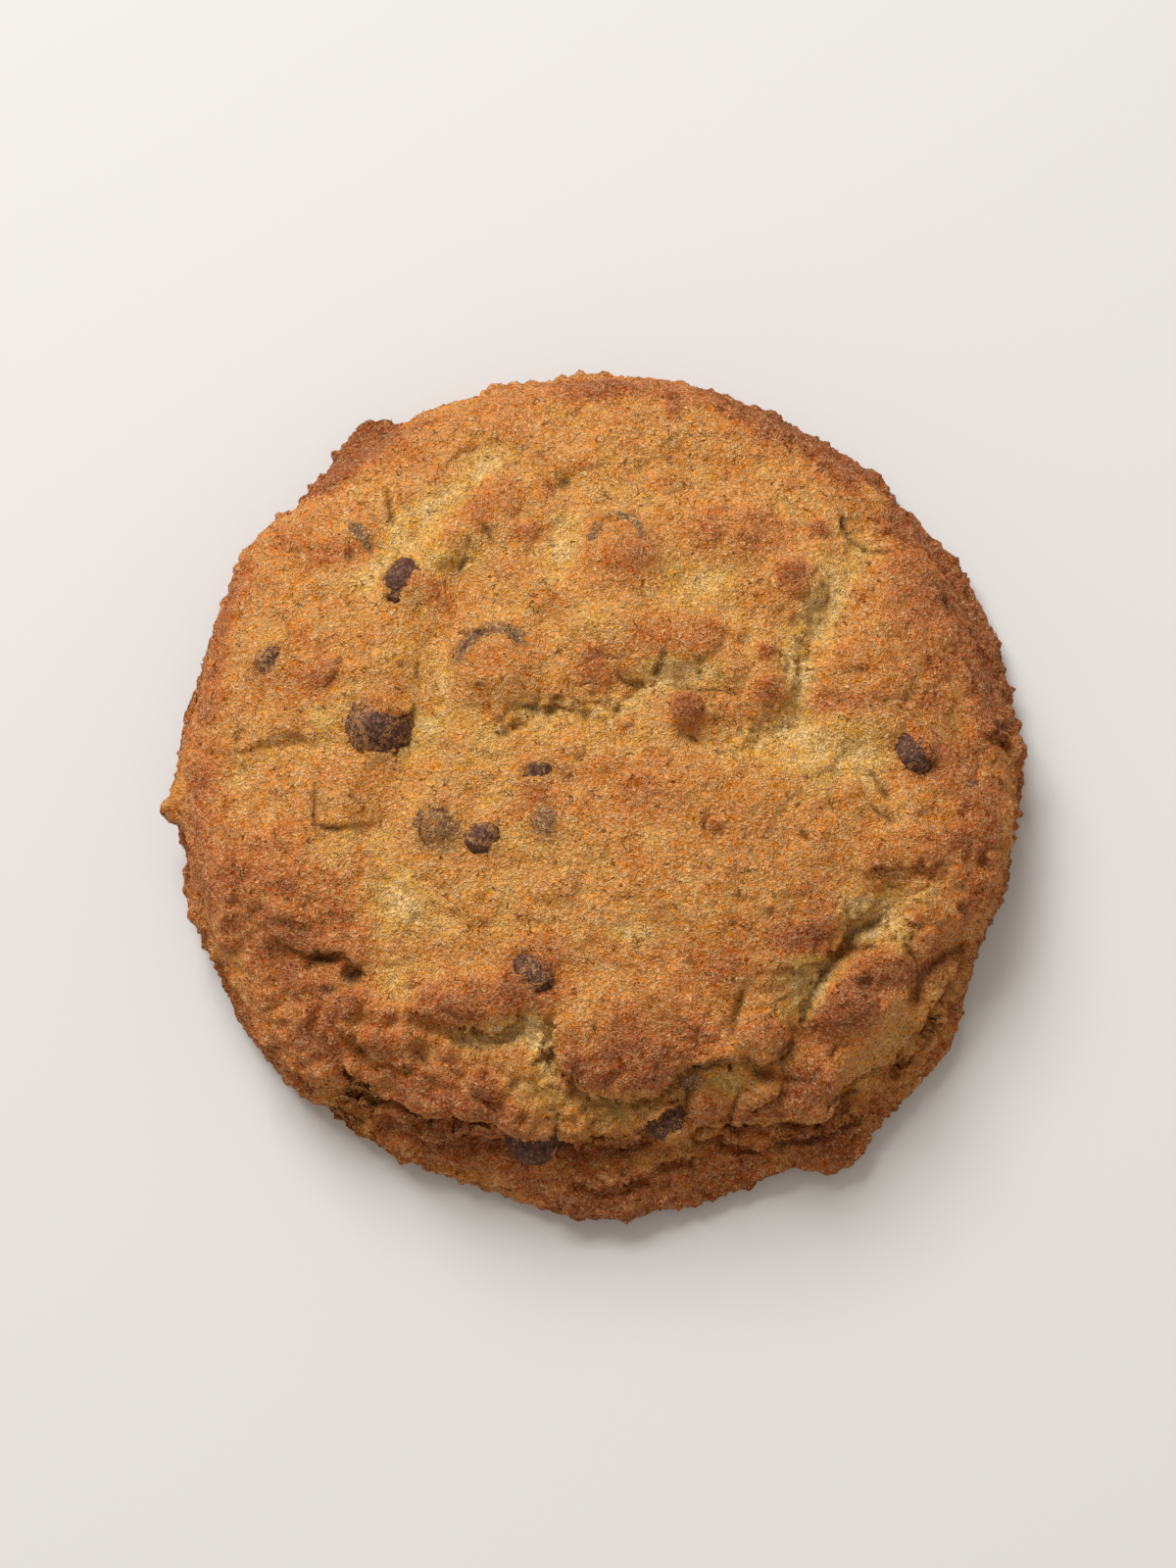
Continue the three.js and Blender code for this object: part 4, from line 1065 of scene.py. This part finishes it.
def crust_material(name, lighten=0.0, dryness=(0.55, 0.9)):
    """Crust with its threads and pores. Dryness is the roughness on a thread and between threads."""
    material, tree, shader = new_material(name)
    place = add_node(tree, "ShaderNodeTexCoord").outputs["Object"]
    bend = noise_node(tree, place, 0.7, detail=1.0)
    shifted = add_node(
        tree,
        "ShaderNodeVectorMath",
        {0: bend.outputs["Color"], 1: (1.1 * MM,) * 3, 2: place},
        operation="MULTIPLY_ADD",
    ).outputs[0]
    web = add_node(
        tree,
        "ShaderNodeTexVoronoi",
        {"Vector": shifted, "Scale": grain_size(WEB_SIZE)},
        feature="DISTANCE_TO_EDGE",
    ).outputs["Distance"]
    broken = noise_node(tree, place, 0.8).outputs["Fac"]
    thread = calculate(tree, "MULTIPLY", fade(tree, web, 0.17, 0.03), fade(tree, broken, 0.36, 0.56))

    tone = painted(tree, "browning_and_painted_shading")
    light = 0.0
    for millimetres, share, twist, weight in SPECKLES:
        speckle = noise_node(tree, place, millimetres, 1.0, twist).outputs["Fac"]
        off = calculate(tree, "SUBTRACT", speckle, 0.5)
        tone = calculate(tree, "MULTIPLY_ADD", off, -share, tone)
        light = calculate(tree, "MULTIPLY_ADD", off, weight, light)
    tone = calculate(tree, "MULTIPLY_ADD", thread, -0.1, calculate(tree, "ADD", tone, 0.06))
    colour = set_ramp(add_node(tree, "ShaderNodeValToRGB", {"Fac": tone}), CRUST_COLOURS)
    # Painted shade and highlight on the fine grain, with its own tone: darker specks get richer, lighter ones
    # paler.
    settings = {
        "Color": colour,
        "Value": calculate(tree, "MULTIPLY_ADD", light, fade(tree, tone, 0.5, 1.0, 1.3, 1.6), 1.0),
        "Saturation": calculate(tree, "MULTIPLY_ADD", light, -0.5, 1.0),
    }
    colour = add_node(tree, "ShaderNodeHueSaturation", settings).outputs[0]
    gamma = calculate(tree, "MULTIPLY_ADD", light, -0.5, 1.0)
    colour = add_node(tree, "ShaderNodeGamma", {"Color": colour, "Gamma": gamma}).outputs[0]
    stained = calculate(tree, "MULTIPLY_ADD", light, 1.6, painted(tree, "stain"))
    stained = fade(tree, stained, 0.2, 0.6, 0.0, 0.9)
    colour = blend(tree, stained, colour, STAIN_COLOUR)
    # Paler threads with painted highlight; lighten makes the whole piece paler, as painted highlight on the
    # flecks.
    pale = calculate(tree, "MULTIPLY_ADD", thread, 0.7 - 0.5 * lighten, lighten)
    pale = calculate(tree, "MULTIPLY", pale, fade(tree, tone, 0.35, 0.9, 1.0, 0.58))
    colour = blend(tree, pale, colour, THREAD_AND_HIGHLIGHT_COLOUR)

    # Pores and hair cracks, sunk by the bump and darkened with painted shade.
    pore = 0.0
    for millimetres in PORE_SPACINGS:
        settings = {"Vector": shifted, "Scale": grain_size(millimetres)}
        cells = add_node(tree, "ShaderNodeTexVoronoi", settings, feature="F1")
        size = fade(tree, cells.outputs["Color"], 0.35, 1.0, 0.0, 0.22)
        inside = calculate(tree, "SUBTRACT", size, cells.outputs["Distance"])
        pore = calculate(tree, "MAXIMUM", pore, fade(tree, inside, 0.0, 0.08))
    ripple = calculate(tree, "SUBTRACT", noise_node(tree, place, 1.9, 2.0, 0.6).outputs["Fac"], 0.5)
    crack = fade(tree, calculate(tree, "ABSOLUTE", ripple), 0.022, 0.008)
    here = fade(tree, noise_node(tree, place, 1.4, 1.0).outputs["Fac"], 0.57, 0.66, 0.0, 0.8)
    pore = calculate(tree, "MAXIMUM", pore, calculate(tree, "MULTIPLY", crack, here))
    colour = blend(tree, calculate(tree, "MULTIPLY", pore, 0.85), colour, PORE_SHADE_COLOUR)
    # Painted shade at the bottoms of pits and cracks.
    colour = blend(tree, painted(tree, "shadow"), colour, PIT_SHADE_COLOUR)
    tree.links.new(colour, shader.inputs["Base Color"])

    grain = noise_node(tree, place, 0.4, 2.0, 1.0).outputs["Fac"]
    height = calculate(tree, "MULTIPLY_ADD", pore, -0.6, grain)
    height = calculate(tree, "MULTIPLY_ADD", thread, 0.4, height)
    bump = add_node(tree, "ShaderNodeBump", {"Height": height, "Strength": 1.0, "Distance": GRAIN_HEIGHT})
    tree.links.new(bump.outputs[0], shader.inputs["Normal"])
    tree.links.new(fade(tree, thread, 0.0, 1.0, dryness[1], dryness[0]), shader.inputs["Roughness"])
    shader.inputs["Specular IOR Level"].default_value = 0.2
    return material


def finish_piece(piece, material, slot, *nodes):
    """Gives the piece smooth shading, its material and its body, and hides the imported nodes it stands for.
    """
    piece.data.materials.clear()
    piece.data.materials.append(material)
    select_only(piece)
    bpy.ops.object.shade_smooth()
    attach(piece, "root")
    if nodes:
        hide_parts(*nodes)


finish_piece(dough, crust_material("baked_dough_crust"), "baked_dough", "dough")

# %% [markdown]
# **Dark chocolate.** Out of the oven a chip is satin, not glossy: its cocoa butter melted and set again, and
# dough dust clings to it. The brown is deep and a little red, with paler dust in patches.

# %% Material: dark chocolate
CHOCOLATE_COLOURS = [(0.3, "#351f18"), (0.48, "#4e3026"), (0.6, "#664235"), (0.75, "#85604a")]
DUST_COLOUR = "#a87a4e"
chocolate, tree, shader = new_material("baked_dark_chocolate")
place = add_node(tree, "ShaderNodeTexCoord").outputs["Object"]
mottle = noise_node(tree, place, 0.6, 3.0).outputs["Fac"]
colour = set_ramp(add_node(tree, "ShaderNodeValToRGB", {"Fac": mottle}), CHOCOLATE_COLOURS)
crumbs = noise_node(tree, place, 0.42, 1.0, 1.5).outputs["Fac"]
dust = fade(tree, calculate(tree, "MULTIPLY_ADD", painted(tree, "dusted"), 0.3, crumbs), 0.58, 0.72)
colour = blend(tree, dust, colour, DUST_COLOUR)
tree.links.new(colour, shader.inputs["Base Color"])
wrinkles = noise_node(tree, place, 0.45, 3.0).outputs["Fac"]
height = calculate(tree, "MULTIPLY_ADD", dust, 0.3, wrinkles)
bump = add_node(tree, "ShaderNodeBump", {"Height": height, "Strength": 0.8, "Distance": 0.3 * MM})
tree.links.new(bump.outputs[0], shader.inputs["Normal"])
shader.inputs["Roughness"].default_value = 0.6
shader.inputs["Specular IOR Level"].default_value = 0.25
for node, chip in chips.items():
    finish_piece(chip, chocolate, "chocolate", node)

# %% [markdown]
# A crust is covered with flecks: curled shreds of crisped dough, under a millimetre long, lying every way.
# One shred is a hexagon drawn out thin and curved to a crescent, and Geometry Nodes strews it over the dough,
# turned and sized at random from fixed seeds, and makes it all one mesh.

# %% Flecks of the crust
FLECK_LENGTH, FLECK_WIDTH, FLECK_CURL = 0.85 * MM, 0.15 * MM, 0.18 * MM
FLECK_LEAN = 0.35  # radians, at most, out of the surface
FLECK_SIZES = (0.45, 1.15)  # the smallest and the largest, as a share of these measures
FLECK_DENSITY = 3.2e6  # for each square metre, so about three for each square millimetre

bpy.ops.mesh.primitive_circle_add(vertices=6, radius=1, fill_type="NGON")
shred = bpy.context.object
shred.name = "shred"
for corner in shred.data.vertices:
    along, across = corner.co.y, corner.co.x
    corner.co = (along * FLECK_LENGTH / 2, across * FLECK_WIDTH / 2 + FLECK_CURL * (1 - along**2), 0.03 * MM)

density = smoothstep(0.1, 0.8, points[:, 2])
bare_now = np.empty(len(points), np.float32)
dough.data.attributes["bare"].data.foreach_get("value", bare_now)
store(dough, "strewn", density * (1 - 0.85 * (bare_now > 0.5)))

strewing = bpy.data.node_groups.new("strew_flecks", "GeometryNodeTree")
strewing.interface.new_socket("Geometry", in_out="INPUT", socket_type="NodeSocketGeometry")
strewing.interface.new_socket("Geometry", in_out="OUTPUT", socket_type="NodeSocketGeometry")
surface = add_node(strewing, "NodeGroupInput")
share = add_node(strewing, "GeometryNodeInputNamedAttribute", {"Name": "strewn"}, data_type="FLOAT")
lift = add_node(strewing, "FunctionNodeRandomValue", data_type="FLOAT_VECTOR")
lift.inputs[0].default_value = (-FLECK_LEAN, -FLECK_LEAN, -math.pi)
lift.inputs[1].default_value = (FLECK_LEAN, FLECK_LEAN, math.pi)
size = add_node(strewing, "FunctionNodeRandomValue", {"Seed": 3}, data_type="FLOAT")
size.inputs[2].default_value, size.inputs[3].default_value = FLECK_SIZES
spots = add_node(
    strewing,
    "GeometryNodeDistributePointsOnFaces",
    {"Mesh": surface.outputs[0], "Seed": 11},
    distribute_method="RANDOM",
)
density_field = add_node(
    strewing, "ShaderNodeMath", {0: share.outputs[0], 1: FLECK_DENSITY}, operation="MULTIPLY"
)
strewing.links.new(density_field.outputs[0], spots.inputs["Density"])
shape = add_node(strewing, "GeometryNodeObjectInfo", {"Object": shred})
strewn = add_node(
    strewing,
    "GeometryNodeInstanceOnPoints",
    {
        "Points": spots.outputs["Points"],
        "Instance": shape.outputs["Geometry"],
        "Rotation": spots.outputs["Rotation"],
        "Scale": size.outputs[1],
    },
)
turned = add_node(
    strewing,
    "GeometryNodeRotateInstances",
    {"Instances": strewn.outputs[0], "Rotation": lift.outputs[0]},
)
real = add_node(strewing, "GeometryNodeRealizeInstances", {0: turned.outputs[0]})
add_node(strewing, "NodeGroupOutput", {0: real.outputs[0]})

flecks = bpy.data.objects.new("crust_flecks", dough.data.copy())
bpy.context.collection.objects.link(flecks)
modify(flecks, "NODES", node_group=strewing)
bpy.data.objects.remove(shred)
# The flecks are made paler: their own crisp colour and painted highlight.
finish_piece(flecks, crust_material("crisp_flecks", lighten=0.25, dryness=(0.45, 0.6)), "baked_dough")
print("flecks:", len(flecks.data.polygons), "shreds of four triangles")
